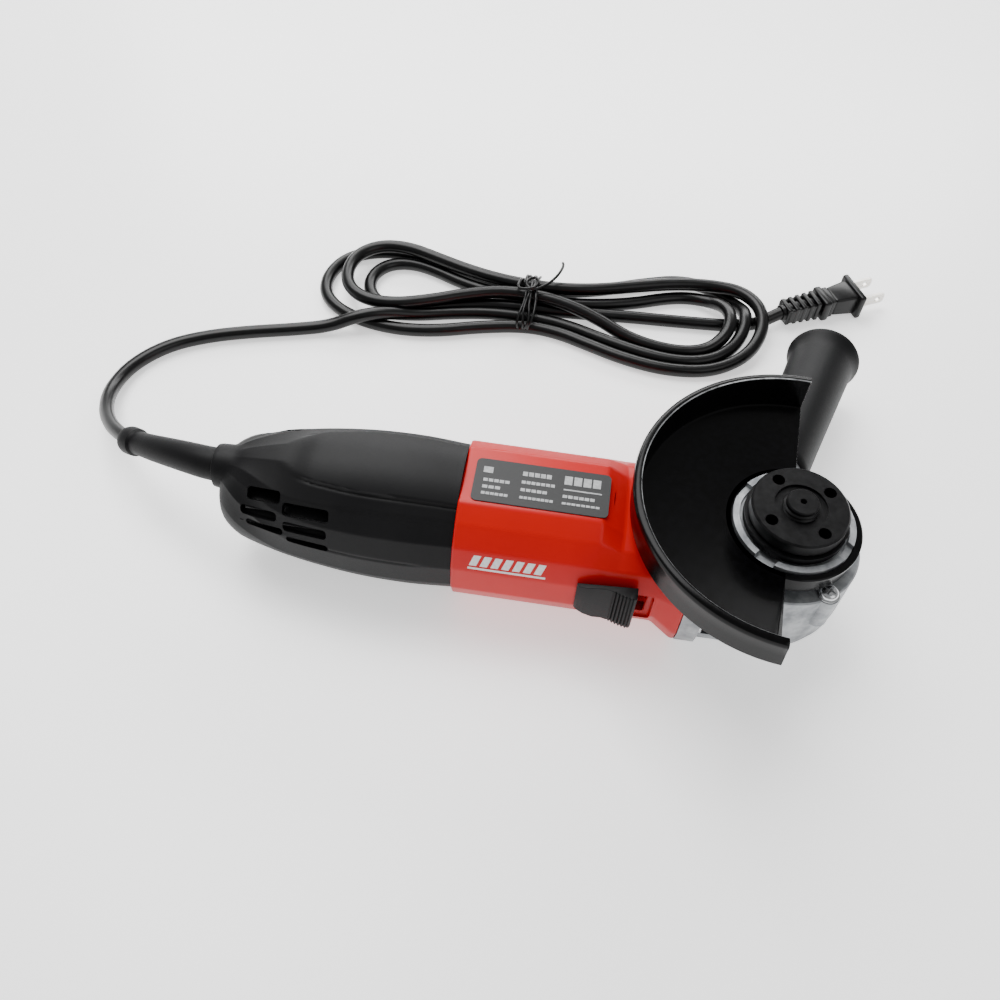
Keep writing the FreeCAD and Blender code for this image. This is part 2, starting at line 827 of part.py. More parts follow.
def flange_half(top, width):
    top, width = float(top), float(width)
    return [
        (14, top),
        (width - 8.5, top),
        (width - 2, top - 5),
        (width, top - 12),
        (width, -14),
        (width - 2, -22),
        (width - 9.5, -29),
        (8, -32),
    ]


def case_screw_places():
    upper = S.flange_half_width - 7, S.housing_flange_top - 6.5
    lower = S.flange_half_width - 10, -20
    return [(side * y, z) for side in (-1, 1) for y, z in (upper, lower)]


def motor_housing():
    height = S.axis_height
    main = barrel_half(S.housing_top, S.housing_half_width)
    step = barrel_half(S.housing_step_top, S.housing_half_width)
    stations = [
        (S.housing_back, main),
        (S.housing_step_back, main),
        (S.housing_step_front, step),
        (S.housing_slope, step),
        (S.flange_face, flange_half(S.housing_flange_top, S.flange_half_width)),
    ]
    lofts = []
    for (x, half), (next_x, next_half) in zip(stations, stations[1:]):
        wires = [section(x, half, height), section(next_x, next_half, height)]
        lofts.append(Part.makeLoft(wires, True, True))
    shell = lofts[0].fuse(lofts[1:]).removeSplitter()
    outside = feature("housing_outside", shell)

    room = S.stator_radius + 0.15
    back = S.housing_back
    pieces = [outside]
    spigot = room + S.spigot_wall
    at = (back - S.spigot_length, 0, height)
    pieces.append(cylinder("housing_spigot", spigot, S.spigot_length + 1, at, "X"))
    solid = fused("housing_solid", pieces)
    coil_room = S.core_front + S.coil_length + 1
    cuts = [cylinder("stator_room", room, coil_room - back + 20, (back - 20, 0, height), "X")]
    fan_reach = S.housing_slope + 2 - coil_room + 1
    fan_room = cylinder("fan_room", S.fan_room_radius, fan_reach, (coil_room - 1, 0, height), "X")
    neck = cylinder("air_neck", S.front_bearing_radius + 4, 40, (S.housing_slope, 0, height), "X")
    cuts += [fan_room, neck]
    for i, (y, z) in enumerate(case_screw_places()):
        cuts.append(cylinder("case_screw_hole%d" % i, 1.9, 22, (S.flange_face - 14, y, height + z), "X"))
    # the sunk track of the slide switch, and the channel that its rod runs in
    wall = S.housing_half_width
    track_low = (S.slider_back + 4, -wall - 4, S.slot_low)
    cuts.append(block("slide_track", track_low, (S.slot_front, -wall + S.slot_depth, S.slot_high)))
    rod_low, rod_high = height - S.rod_height / 2 - 0.6, height + S.rod_height / 2 + 0.6
    channel_low = (S.slider_back + 6, -wall, rod_low)
    cuts.append(block("rod_channel", channel_low, (S.slot_front - 2, -S.fan_room_radius + 1, rod_high)))
    hollow = cut("housing_hollow", solid, cuts)

    # the bridge behind the stator carries the brush boxes and the rear bearing
    outer, inner = S.bridge_radius, S.bridge_radius - S.bridge_wall
    tube_length = back + 2 - S.bridge_end
    at = (S.bridge_end, 0, height)
    tube = cylinder("bridge_tube", outer, tube_length, at, "X")
    web = cylinder("bridge_web", spigot - 0.2, 3, (back - 3, 0, height), "X")
    boss = cylinder("screw_boss", 4.2, 5, (S.cover_screw_x, 0, height - outer - 3.2))
    solid = fused("bridge_solid", [tube, web, boss])
    wall_front = rear_bearing_x + S.rear_bearing_width
    cuts = [cylinder("bridge_room", inner, 60, (wall_front + 2, 0, height), "X")]
    seat = S.rear_bearing_radius + S.bearing_sleeve_wall
    cuts.append(cylinder("bearing_seat", seat, 30, (wall_front - 30, 0, height), "X"))
    cuts.append(cylinder("shaft_hole", S.shaft_radius + 2.5, 20, (wall_front - 1, 0, height), "X"))
    half_x = S.brush_width / 2 + S.brush_tube_wall
    half_y = S.brush_breadth / 2 + S.brush_tube_wall
    window = (S.brush_x - half_x, -half_y, height - 40), (S.brush_x + half_x, half_y, height + 40)
    cuts.append(block("brush_window", *window))
    notch = (back - 9, -spigot - 1, rod_low), (back + 1, -outer - 0.2, rod_high)
    cuts.append(block("rod_notch", *notch))
    cuts.append(cylinder("screw_pilot", 1.6, 12, (S.cover_screw_x, 0, height - outer - 4)))
    for i, degrees in enumerate((35, 145, 215, 325)):
        angle = math.radians(degrees)
        y, z = (outer + 2.2) * math.cos(angle), height + (outer + 2.2) * math.sin(angle)
        cuts.append(cylinder("air_hole%d" % i, 2, 12, (back - 8, y, z), "X"))
    bridge = cut("housing_bridge", solid, cuts)
    finish("motor_housing", fused("motor_housing", [hollow, bridge]))

    top = height + S.housing_top
    low = (S.label_front - S.label_length, -S.label_width / 2 - 2, top)
    high = (S.label_front, S.label_width / 2 - 2, top + S.label_thickness)
    finish("label_plate", block("label_plate", low, high))


# ---- gear case

handle_way = (
    math.cos(math.radians(float(S.handle_droop))) * math.sin(math.radians(float(S.handle_lean))),
    math.cos(math.radians(float(S.handle_droop))) * math.cos(math.radians(float(S.handle_lean))),
    -math.sin(math.radians(float(S.handle_droop))),
)


def along_handle(distance):
    # a point on the handle's axis, that far beyond the face it is screwed against
    at = (S.handle_x, S.handle_y, S.handle_z)
    return tuple(a + distance * b for a, b in zip(at, handle_way))


def handle_turn():
    return Rotation(Vector(0, 0, 1), Vector(*handle_way))


def box_screw_places():
    return [(x * S.case_screw_spread_x, y * S.case_screw_spread_y) for x in (-1, 1) for y in (-1, 1)]


def gear_case():
    height = S.axis_height
    radius = S.head_radius
    outline = [
        (0, 0),
        (S.crown_radius, 0),
        (radius - 6, 4.2),
        (radius - 2.4, 9),
        (radius - 0.6, 15),
        (radius, 22),
        (radius, S.head_top),
        (0, S.head_top),
    ]
    head = turned("case_head", outline)
    half = flange_half(S.housing_flange_top, S.flange_half_width)
    face = Part.Face(section(S.flange_face, half, height))
    flange = feature("case_flange", face.extrude(Vector(float(S.case_flange), 0, 0)))
    neck_y = S.head_radius - 4
    neck_low = (S.flange_face + 2, -neck_y, 5)
    neck = block("case_neck", neck_low, (S.flange_face + 24, neck_y, S.head_top))
    pieces = [head, flange, neck]
    ear_low = S.head_top - 14
    for i, (x, y) in enumerate(box_screw_places()):
        pieces.append(cylinder("case_ear%d" % i, S.case_ear_radius, 14, (x, y, ear_low)))
        foot = cone("case_ear_foot%d" % i, 1.5, S.case_ear_radius, 8, (x * 0.9, y * 0.9, ear_low - 8))
        pieces.append(foot)
    boss = cylinder("handle_boss", S.handle_boss_radius, 18, along_handle(-18), turn=handle_turn())
    away = Rotation(Vector(1, 0, 0), 90)
    spare_at = (S.spare_boss_x, -S.spare_boss_y + 14, S.spare_boss_z)
    spare = cylinder("spare_boss", S.spare_boss_radius, 14, spare_at, turn=away)
    pieces += [boss, spare]
    lock_x, lock_y = on_circle(S.lock_circle, S.lock_angle)
    lock_boss = cylinder("lock_boss", S.lock_button_radius + 2.6, 14, (lock_x, lock_y, 2.5))
    pieces.append(lock_boss)
    solid = fused("case_solid", pieces)

    floor = S.head_cavity_floor
    cuts = [cylinder("case_cavity", S.head_cavity_radius, S.head_top - floor + 1, (0, 0, floor))]
    cuts.append(cylinder("needle_seat", S.needle_radius, floor + 1 - S.crown_wall, (0, 0, S.crown_wall)))
    at = (S.flange_face - 1, 0, height)
    seat_length = S.front_bearing_width + 2
    cuts.append(cylinder("front_bearing_seat", S.front_bearing_radius, seat_length, at, "X"))
    cuts.append(cylinder("pinion_way", S.front_bearing_radius - 2, 30, at, "X"))
    for i, (y, z) in enumerate(case_screw_places()):
        hole_at = (S.flange_face - 1, y, height + z)
        cuts.append(cylinder("case_hole%d" % i, 2.3, S.case_flange + 2, hole_at, "X"))
        room_at = (S.flange_face + S.case_flange, y, height + z)
        cuts.append(cylinder("case_head_room%d" % i, 4.4, 7, room_at, "X"))
    for i, (x, y) in enumerate(box_screw_places()):
        cuts.append(cylinder("box_pilot%d" % i, 1.7, 13, (x, y, S.head_top - 12)))
    cuts.append(cylinder("stud_hole", S.stud_radius, 40, along_handle(-14), turn=handle_turn()))
    hole_at = (S.spare_boss_x, -S.spare_boss_y + 6.5, S.spare_boss_z)
    cuts.append(cylinder("spare_stud_hole", S.stud_radius, 20, hole_at, turn=away))
    # nothing of the case stands in the way of the bearing box or the guard's clamp
    room = cylinder("box_room", S.head_radius + 0.6, 30, (0, 0, S.head_top))
    cuts.append(room)
    cuts.append(cylinder("clamp_room", S.lug_reach + 1.5, 30, (0, 0, S.clamp_low - 0.9)))
    pocket = S.lock_button_radius + S.free_gap
    cuts.append(cylinder("lock_pocket", pocket, S.lock_pocket_floor + 3, (lock_x, lock_y, -3)))
    guide = S.lock_pin_radius + S.running_gap
    cuts.append(cylinder("lock_guide", guide, S.head_top, (lock_x, lock_y, 0)))
    # two slots that let the motor's air out past the front bearing
    for i, side in enumerate((-1, 1)):
        y = side * (S.front_bearing_radius + 4.5)
        slot = (S.flange_face - 1, y - 1.8, height - 8), (S.flange_face + 20, y + 1.8, height + 8)
        cuts.append(block("air_slot%d" % i, *slot))
    finish("gear_case", cut("gear_case", solid, cuts))


def bearing_box():
    low = S.head_top
    plate_top = low + S.box_plate
    neck = S.box_neck_radius
    wall_low = S.spindle_bearing_low + S.spindle_bearing_width
    seat = S.spindle_bearing_radius
    outline = [
        (S.head_radius, low),
        (S.head_radius, plate_top - 0.6),
        (S.head_radius - 0.6, plate_top),
        (neck, plate_top),
        (neck, S.box_top),
        (S.box_rim_radius, S.box_top),
        (S.box_rim_radius, S.box_recess_floor),
        (S.spindle_shoulder_radius + 1.4, S.box_recess_floor),
        (S.spindle_shoulder_radius + 1.4, wall_low),
        (seat, wall_low),
        (seat, S.spindle_bearing_low),
        (seat + 3, S.spindle_bearing_low),
        (seat + 3, low),
    ]
    pieces = [turned("box_turning", outline)]
    holes = []
    for i, (x, y) in enumerate(box_screw_places()):
        pieces.append(cylinder("box_ear%d" % i, S.case_ear_radius, S.box_plate, (x, y, low)))
        holes.append(cylinder("box_screw_hole%d" % i, 2.2, 20, (x, y, low - 2)))
    # the ears stay clear of the bearing's retaining plate
    room = cylinder("retainer_room", seat + 3, S.spindle_bearing_low - low, (0, 0, low))
    solid = fused("box_solid", pieces)
    for i in range(4):
        notch = made(
            "Part::Box",
            "box_notch%d" % i,
            (0, 0, S.box_top - 2.2),
            Rotation(Vector(0, 0, 1), -40 + 90 * i),
            Length=neck + 2,
            Width=S.box_notch,
            Height=5,
        )
        holes.append(notch)
    finish("bearing_box", cut("bearing_box", solid, holes + [room]))


def case_screws():
    seat = S.head_top + S.box_plate
    box_screws = []
    for i, (x, y) in enumerate(box_screw_places()):
        name = "box_screw%d" % i
        washer = cylinder(name + "_washer", 4, 0.8, (x, y, seat))
        bolt = screw(name + "_bolt", 3.4, 2.4, 1.7, 10, (x, y, seat + 0.8))
        box_screws.append(fused(name, [washer, bolt]))
    finish("bearing_box_screws", grouped("bearing_box_screws", box_screws))
    screws = []
    for i, (y, z) in enumerate(case_screw_places()):
        at = (S.flange_face + S.case_flange, y, S.axis_height + z)
        screws.append(screw("case_screw%d" % i, 3.9, 2.8, 1.9, 20, at, turn_to["X"]))
    finish("gear_case_screws", grouped("gear_case_screws", screws))


# ---- wheel guard and its clamp

def wheel_guard():
    low, top = S.guard_low, S.guard_rim_top
    hole = S.box_neck_radius + 0.4
    outline = [
        (hole, low),
        (S.guard_radius - 1, low),
        (S.guard_radius, low + 1),
        (S.guard_radius + 1, top - 2.6),
        (S.guard_inner_radius + 0.6, top),
        (S.guard_inner_radius, top),
        (S.guard_inner_radius, low + S.guard_sheet + 1),
        (S.guard_inner_radius - 1, low + S.guard_sheet),
        (hole, low + S.guard_sheet),
    ]
    whole = turned("guard_whole", outline)
    turn = Rotation(Vector(0, 0, 1), float(S.guard_turn))
    # cut along a line past the spindle, except for the collar round the neck
    reach = float(S.guard_radius) * 1.3
    corner = turn.multVec(Vector(-0.5, -reach, 0))
    away = made(
        "Part::Box",
        "guard_away",
        (corner.x, corner.y, low - 1),
        turn,
        Length=S.guard_radius * 1.3,
        Width=S.guard_radius * 2.6,
        Height=top - low + 2,
    )
    slant = made(
        "Part::Box",
        "guard_slant",
        (S.guard_near_end, -reach, low + S.guard_sheet),
        Rotation(Vector(0, 1, 0), -16),
        Length=20,
        Width=reach,
        Height=40,
    )
    collar = cylinder("guard_collar", S.guard_collar_radius, S.guard_sheet, (0, 0, low))
    collar_hole = cylinder("guard_collar_hole", hole, 9, (0, 0, low - 1))
    pieces = [cut("guard_half", whole, [away, slant]), cut("guard_ring", collar, [collar_hole])]
    finish("wheel_guard", fused("wheel_guard", pieces))


def guard_clamp():
    low, top = S.clamp_low, S.guard_low
    inner = S.box_neck_radius + 0.05
    outer = inner + S.clamp_wall
    height = top - low
    slit = float(S.clamp_slit_angle)
    band = cylinder("clamp_outside", outer, height, (0, 0, low))
    lugs = []
    radial = Rotation(Vector(0, 0, 1), slit)
    across = radial.multVec(Vector(0, 1, 0))
    for side in (-1, 1):
        start = across * (-4.4 if side < 0 else 1.4)
        lugs.append(
            made(
                "Part::Box",
                "clamp_lug%d" % side,
                (start.x, start.y, low),
                radial,
                Length=S.lug_reach,
                Width=3,
                Height=height,
            )
        )
    hole = cylinder("clamp_inside", inner, height + 2, (0, 0, low - 1))
    start = across * -1.4
    gap = made(
        "Part::Box",
        "clamp_slit",
        (start.x, start.y, low - 1),
        radial,
        Length=S.lug_reach + 4,
        Width=2.8,
        Height=height + 2,
    )
    middle = (S.lug_reach + outer) / 2
    axis_at = radial.multVec(Vector(float(middle), -12, 0))
    level = low + height / 2
    turn = Rotation(Vector(0, 0, 1), across)
    bolt_way = cylinder("clamp_bolt_way", 2.3, 24, (axis_at.x, axis_at.y, level), turn=turn)
    solid = fused("clamp_solid", [band] + lugs)
    finish("guard_clamp", cut("guard_clamp", solid, [hole, gap, bolt_way]))

    head_at = radial.multVec(Vector(float(middle), 4.4, 0))
    bolt = screw("clamp_bolt", 3, 2.4, 2.2, 12, (head_at.x, head_at.y, level), turn)
    finish("guard_clamp_screw", bolt)
    nut_at = radial.multVec(Vector(float(middle), -4.4 - 2.4, 0))
    spun = turn
    blank = padded("clamp_nut_hexagon", hexagon(3.3), "XY_Plane", 2.4, (nut_at.x, nut_at.y, level), spun)
    bore = cylinder("clamp_nut_bore", 2.2, 9, (axis_at.x, axis_at.y, level), turn=turn)
    finish("guard_clamp_nut", cut("guard_clamp_nut", blank, [bore]))


# ---- side handle

def side_handle():
    root, end, flare = S.handle_root_radius, S.handle_end_radius, S.handle_flare_radius
    length = S.handle_length
    outline = [
        (0, 0),
        (root - 1.5, 0),
        (root, 1.5),
        (root, 8),
        (end, length - 9),
        (end + 0.6, length - 5),
        (flare - 0.4, length - 3),
        (flare, length - 1.6),
        (flare - 0.8, length - 0.4),
        (flare - 2, length),
        (0, length - 0.8),
    ]
    at, turn = along_handle(0), handle_turn()
    grip = turned("handle_grip", outline, at=at, turn=turn)
    socket = cylinder("stud_socket", S.stud_radius, 18, at, turn=turn)
    finish("side_handle", cut("side_handle", grip, [socket]))
    stud = S.stud_radius - S.running_gap
    outline = [(0, -13), (stud - 0.8, -13), (stud, -12.2), (stud, 18), (0, 18)]
    finish("handle_stud", turned("handle_stud", outline, at=at, turn=turn))


# ---- slide switch

def slide_switch():
    height = S.axis_height
    face = S.housing_half_width
    back, front = S.slider_back, S.slider_front
    low, high = S.slider_low, S.slider_high
    rise = S.slider_rise
    # the thumb piece: low and round behind, ramped up to a ribbed front
    outline = [
        (back, -face - 0.35),
        (back + 0.8, -face - 1.8),
        (back + 4, -face - 2.6),
        (front - 9, -face - rise + 2.2),
        (front - 3, -face - rise + 0.4),
        (front - 0.8, -face - rise),
        (front, -face - rise + 0.8),
        (front, -face - 0.35),
    ]
    ramp = padded("slider_ramp", outline, "XY_Plane", high - low, (0, 0, low))
    tongue_low = (back + 6, -face - 0.8, S.slot_low + 0.6)
    tongue = block("slider_tongue", tongue_low, (front - 1.2, -face + S.slot_depth - 0.5, S.slot_high - 0.6))
    half = S.rod_height / 2
    stem_low = (back + 7.5, -face + S.slot_depth - 1, height - half)
    stem = block("slider_stem", stem_low, (front - 3, -S.rod_offset - S.rod_thickness / 2, height + half))
    solid = fused("slider_solid", [ramp, tongue, stem])
    grooves = []
    for i in range(6):
        x = front - 2.6 - 2.1 * i
        depth = face + rise - 0.2 if i < 4 else face + rise - 0.8
        grooves.append(cylinder("thumb_groove%d" % i, 0.45, high - low + 2, (x, -depth, low - 1)))
    finish("switch_slider", cut("switch_slider", solid, grooves))

    near, far = -S.rod_offset - S.rod_thickness / 2, -S.rod_offset + S.rod_thickness / 2
    low_corner = (S.rod_back, near, height - half)
    bar = block("rod_bar", low_corner, (front - 3, far, height + half))
    hook = block("rod_hook", low_corner, (S.rod_back + 4, far + 2.6, height + half))
    finish("switch_rod", fused("switch_rod", [bar, hook]))

    side = -S.rod_offset + S.rod_thickness / 2 + 2.6 + S.free_gap
    body_low = (S.rod_back - 18, side, height - 9)
    body_high = (S.rod_back + 8, side + 15, height + 9)
    case = block("switch_case", body_low, body_high)
    terminals = []
    for i, z in enumerate((height - 5, height + 5)):
        start = (body_low[0] - 5, side + 6, z - 2.4)
        terminals.append(block("terminal%d" % i, start, (body_low[0] + 2, side + 7, z + 2.4)))
    finish("switch_body", fused("switch_body", [case] + terminals))


# ---- spindle lock

def spindle_lock():
    x, y = on_circle(S.lock_circle, S.lock_angle)
    low = S.lock_button_low
    top = low + S.lock_button_height
    pin_top = S.gear_back_height - S.gear_rim_thickness - 2.2
    button = S.lock_button_radius
    outline = [
        (0, low),
        (button - 0.8, low),
        (button, low + 0.8),
        (button, top - S.free_gap),
        (0, top - S.free_gap),
    ]
    finish("lock_button", turned("lock_button", outline, at=(x, y, 0)))
    outline = [
        (0, top - S.free_gap),
        (S.lock_pin_radius, top - S.free_gap),
        (S.lock_pin_radius, pin_top - 0.5),
        (S.lock_pin_radius - 0.5, pin_top),
        (0, pin_top),
    ]
    finish("lock_pin", turned("lock_pin", outline, at=(x, y, 0)))
    length = float(S.lock_pocket_floor - top) - 0.1
    spring = coil_spring(float(S.lock_pin_radius) + 1.2, 0.35, length, 3)
    finish("lock_spring", feature("lock_spring", spring, (x, y, top + 0.05)))


# ---- rear cover, cord entry and clamp

cover_rows = (
    # distance behind the seam, and how much smaller than the belly the radius is
    (0, None),
    (19, 0.3),
    (39, 0.7),
    (57, 2.5),
    (72, 5.1),
    (83, 7.7),
    (91, 10.3),
    (97, 13.4),
    (101, 17.2),
    (103, 22),
)


def cover_profile(inset):
    rows = []
    for behind, less in cover_rows:
        radius = S.cover_front_radius if less is None else S.cover_belly_radius - less
        rows.append((S.housing_back - behind, radius - inset))
    return rows


def vent_places():
    # (angle from +Y, middle behind the seam, length, width) on the operator's side
    return [
        (133, 77.5, 13, 5.2),
        (141, 60, 17, 5.2),
        (151, 79, 14, 4.6),
        (158, 60.5, 17, 4.2),
        (168, 78, 14, 3.2),
        (172, 59, 17, 3.0),
    ]


def rear_cover():
    height = S.axis_height
    at = (0, 0, height)
    outer = cover_profile(0)
    end = outer[-1][0]
    outline = [(S.housing_back, 0)] + outer + [(end, 0)]
    shell = turned("cover_outside", outline, along="X", at=at)
    boss_length = 26
    cone_at = (S.boss_end, 0, S.boss_height)
    boss = cone("cord_boss", S.boss_radius - 0.6, S.boss_radius + 0.9, boss_length, cone_at, "X")
    solid = fused("cover_solid", [shell, boss])

    inner = cover_profile(S.cover_wall)
    rows = [(x + (3 if i > 4 else 0), radius) for i, (x, radius) in enumerate(inner[:-1])]
    rows[0] = (S.housing_back, rows[0][1])
    last = rows[-1][0]
    outline = [(S.housing_back + 1, 0), (S.housing_back + 1, rows[0][1])] + rows + [(last, 0)]
    cuts = [turned("cover_inside", outline, along="X", at=at)]
    cuts.append(cylinder("cord_bore", S.cord_radius + 2.8, 34, (S.boss_end - 1, 0, S.boss_height), "X"))
    for i, (degrees, behind, length, width) in enumerate(vent_places()):
        for side in (1, -1):
            name = "vent%d%s" % (i, "_near" if side > 0 else "_far")
            angle = degrees if side > 0 else 180 - degrees
            turn = Rotation(Vector(1, 0, 0), angle)
            start = turn.multVec(Vector(0, 12, -width / 2))
            low = (S.housing_back - behind - length / 2, start.y, height + start.z)
            cuts.append(made("Part::Box", name, low, turn, Length=length, Width=30, Height=width))
    # a well for the screw that holds the cover on
    well_top = height - S.bridge_radius - 3.4
    well = cylinder("screw_well", 5.4, well_top - 1.5, (S.cover_screw_x, 0, 1.5))
    # the beam that the cord is clamped down on
    half = S.clamp_width / 2
    beam_low = (S.clamp_x - half - 0.4, -23, S.boss_height - S.cord_radius - 5.6)
    beam = block("clamp_beam", beam_low, (S.clamp_x + half + 0.4, 23, S.boss_height - 0.6))
    hollow = fused("cover_walls", [cut("cover_hollow", solid, cuts), well, beam])
    bores = [cylinder("screw_recess", 3.9, 4.4, (S.cover_screw_x, 0, 0))]
    bores.append(cylinder("screw_clearance", 2.1, 20, (S.cover_screw_x, 0, 0)))
    groove = S.cord_radius + S.running_gap
    bores.append(cylinder("beam_groove", groove, 12, (S.clamp_x - 6, 0, S.boss_height), "X"))
    for side in (-1, 1):
        bores.append(cylinder("beam_pilot%d" % side, 1.2, 9, (S.clamp_x, side * 6.2, S.boss_height - 9)))
    finish("rear_cover", cut("rear_cover", hollow, bores))
    flip = Rotation(Vector(1, 0, 0), 180)
    finish("rear_cover_screw", screw("cover_screw", 3.5, 2.4, 1.6, 9.5, (S.cover_screw_x, 0, 4.4), flip))


relief_points = [
    (-240, 0.3, 42.8),
    (-249, 3.6, 40.6),
    (-260, 7.4, 37.3),
    (-271, 11.8, 33),
    (-282.5, 17.6, 28),
]
cord_points = [
    (-203, 0, 43),
    (-219, 0, 43.05),
    (-235, 0, 42.95),
    (-256, 6, 38.8),
    (-271, 11.8, 33),
    (-285, 19, 26.6),
    (-299, 30.5, 19),
    (-310, 46, 11.4),
    (-315.5, 64, 5.8),
    (-312, 83, 3.6),
    (-299.5, 98.5, 3.6),
    (-282, 108.5, 3.6),
    (-262, 115.5, 3.6),
    (-240, 121.5, 3.6),
    (-222, 126.8, 3.6),
    (-208, 132.2, 3.6),
]


def circle_wire(centre, way, radius):
    return Part.Wire([Part.makeCircle(float(radius), Vector(*centre), way)])


def cord_guard():
    # a bent, tapered sleeve with a collar at its end, and a foot inside the boss
    points = [Vector(*p) for p in relief_points]
    count = len(points) - 1
    wires, ways = [], []
    for i, point in enumerate(points):
        way = points[min(i + 1, count)] - points[max(i - 1, 0)]
        way = Vector(-1, 0, 0) if i == 0 else way
        radius = S.relief_root_radius + (S.relief_end_radius - S.relief_root_radius) * (i / count)
        ways.append(way)
        wires.append(circle_wire(point, way, radius))
    sleeve = Part.makeLoft(wires, True, False)
    way = Vector(ways[-1]).normalize()
    end = points[-1] - way * 4.5
    collar = Part.makeCylinder(float(S.relief_collar_radius), 4.5, end, way)
    back = Vector(1, 0, 0)
    start = vec(S.boss_end, 0, S.boss_height)
    neck = Part.makeCylinder(float(S.cord_radius) + 2.8, float(S.guard_foot) + 1, start, back)
    foot_at = vec(S.boss_end + S.guard_foot, 0, S.boss_height)
    foot = Part.makeCylinder(float(S.cord_radius) + 3.9, 3, foot_at, back)
    inside = cord_path([Vector(*p) for p in cord_points[:7]])
    bore = float(S.cord_radius + S.running_gap)
    hole = inside.makePipeShell([circle_wire(cord_points[0], back, bore)], True, False)
    shape = sleeve.fuse([collar, neck, foot]).cut(hole)
    finish("cord_guard", feature("cord_guard", shape))


# ---- cord: straight runs joined by arcs that touch them

def cord_path(points, told=False):
    edges, at = [], points[0]
    radii = []
    for before, corner, after in zip(points, points[1:], points[2:]):
        run_in, run_out = corner - before, after - corner
        half_turn = run_in.getAngle(run_out) / 2
        reach = 0.45 * min(run_in.Length, run_out.Length)
        radii.append(reach / math.tan(half_turn))
        start = corner - Vector(run_in).normalize() * reach
        stop = corner + Vector(run_out).normalize() * reach
        bisector = (Vector(run_out).normalize() - Vector(run_in).normalize()).normalize()
        inward = radii[-1] * (1 / math.cos(half_turn) - 1)
        edges.append(Part.LineSegment(at, start).toShape())
        edges.append(Part.Arc(start, corner + bisector * inward, stop).toShape())
        at = stop
    edges.append(Part.LineSegment(at, points[-1]).toShape())
    if told:
        print("cord radii", [round(r) for r in radii])
    return Part.Wire(edges)


def cord_tube(label, points):
    route = [Vector(*p) for p in points]
    path = cord_path(route, True)
    radius = float(S.cord_radius)
    solid = path.makePipeShell([circle_wire(points[0], route[1] - route[0], radius)], True, False)
    wanted = math.pi * radius**2 * path.Length
    print(label, "length %.0f volume over section times length %.4f" % (path.Length, solid.Volume / wanted))
    finish(label, feature(label, solid))


plug_lead_points = [(-5, 169.4, 7.4), (1.5, 172.2, 7.6), (8, 175.8, 7.6), (12.5, 178.5, 7.6)]

# the hank lies along X: where it is, its middle, and half its width there
hank_rows = [
    (-236, 160, 7),
    (-224, 159, 23),
    (-208, 160, 29.5),
    (-190, 160.5, 30.5),
    (-168, 159.5, 26),
    (-145, 160, 20),
    (-125, 161, 17.5),
    (-108, 162, 20.5),
    (-75, 160.5, 33.5),
    (-45, 164, 41),
    (-20, 165.5, 34),
    (-8, 166, 24),
    (1, 167, 8),
]

tie_x = (-126, -120)
tie_y = (142.5, 180)


def power_cord():
    cord_tube("power_cord", cord_points)
    cord_tube("plug_lead", plug_lead_points)
    near = [Vector(x, y - half, 0) for x, y, half in hank_rows]
    far = [Vector(x, y + half, 0) for x, y, half in reversed(hank_rows)]
    outline = Part.Face(closed_wire(near + far))
    hank = outline.extrude(vec(0, 0, S.hank_height))
    wire, top = float(S.tie_wire), float(S.hank_height)
    width = tie_x[1] - tie_x[0]
    inside_low = Vector(tie_x[0], tie_y[0], wire)
    inside = Part.makeBox(width, tie_y[1] - tie_y[0], top - wire, inside_low)
    outside_low = Vector(tie_x[0], tie_y[0] - wire, 0)
    outside = Part.makeBox(width, tie_y[1] - tie_y[0] + 2 * wire, top + wire, outside_low)
    tie = outside.cut(inside)
    finish("cord_hank", feature("cord_hank", hank.cut(tie)))
    finish("cord_tie", feature("cord_tie", tie))


def plug():
    at = (S.plug_x, S.plug_y, S.plug_height)
    turn = Rotation(Vector(0, 0, 1), float(S.plug_turn))
    way = turn.multVec(Vector(1, 0, 0))

    def along(distance, across=0.0):
        offset = turn.multVec(Vector(distance, across, 0))
        return (at[0] + offset.x, at[1] + offset.y, at[2])

    pieces = [cone("plug_relief", 4.6, 5.4, 23, at, turn=Rotation(Vector(0, 0, 1), way))]
    for i in range(5):
        rib = cylinder("plug_rib%d" % i, 5.9, 2.2, along(2.4 + 4 * i), turn=Rotation(Vector(0, 0, 1), way))
        pieces.append(rib)
    half_w, half_h = S.plug_face_width / 2, S.plug_face_height / 2

    def slab(name, start, length, share_w, share_h):
        w, h = float(half_w) * share_w, float(half_h) * share_h
        corner = along(start, -w)
        low = (corner[0], corner[1], S.plug_height - h)
        return made("Part::Box", name, low, turn, Length=length, Width=2 * w, Height=2 * h)

    pieces.append(slab("plug_collar", 21, 7, 0.72, 0.8))
    pieces.append(slab("plug_waist", 27, 16, 0.8, 0.9))
    pieces.append(slab("plug_face", 42, 3.5, 1, 1))
    body = fused("plug_solid", pieces)
    blades, sockets = [], []
    for side in (-1, 1):
        across = float(S.blade_gap) / 2 * side
        corner = along(39.5, across - 0.75)
        low = (corner[0], corner[1], S.plug_height - 3.1)
        length = S.blade_length + 6
        bar = made("Part::Box", "blade_bar%d" % side, low, turn, Length=length, Width=1.5, Height=6.2)
        slot = made("Part::Box", "blade_slot%d" % side, low, turn, Length=length, Width=1.5, Height=6.2)
        sockets.append(slot)
        eye_at = along(45.5 + float(S.blade_length) - 4.4, across - 3)
        side_way = turn.multVec(Vector(0, 1, 0))
        eye = cylinder("blade_eye%d" % side, 1.6, 6, eye_at, turn=Rotation(Vector(0, 0, 1), side_way))
        blades.append(cut("blade%d" % side, bar, [eye]))
    finish("plug_body", cut("plug_body", body, sockets))
    finish("plug_blades", grouped("plug_blades", blades))


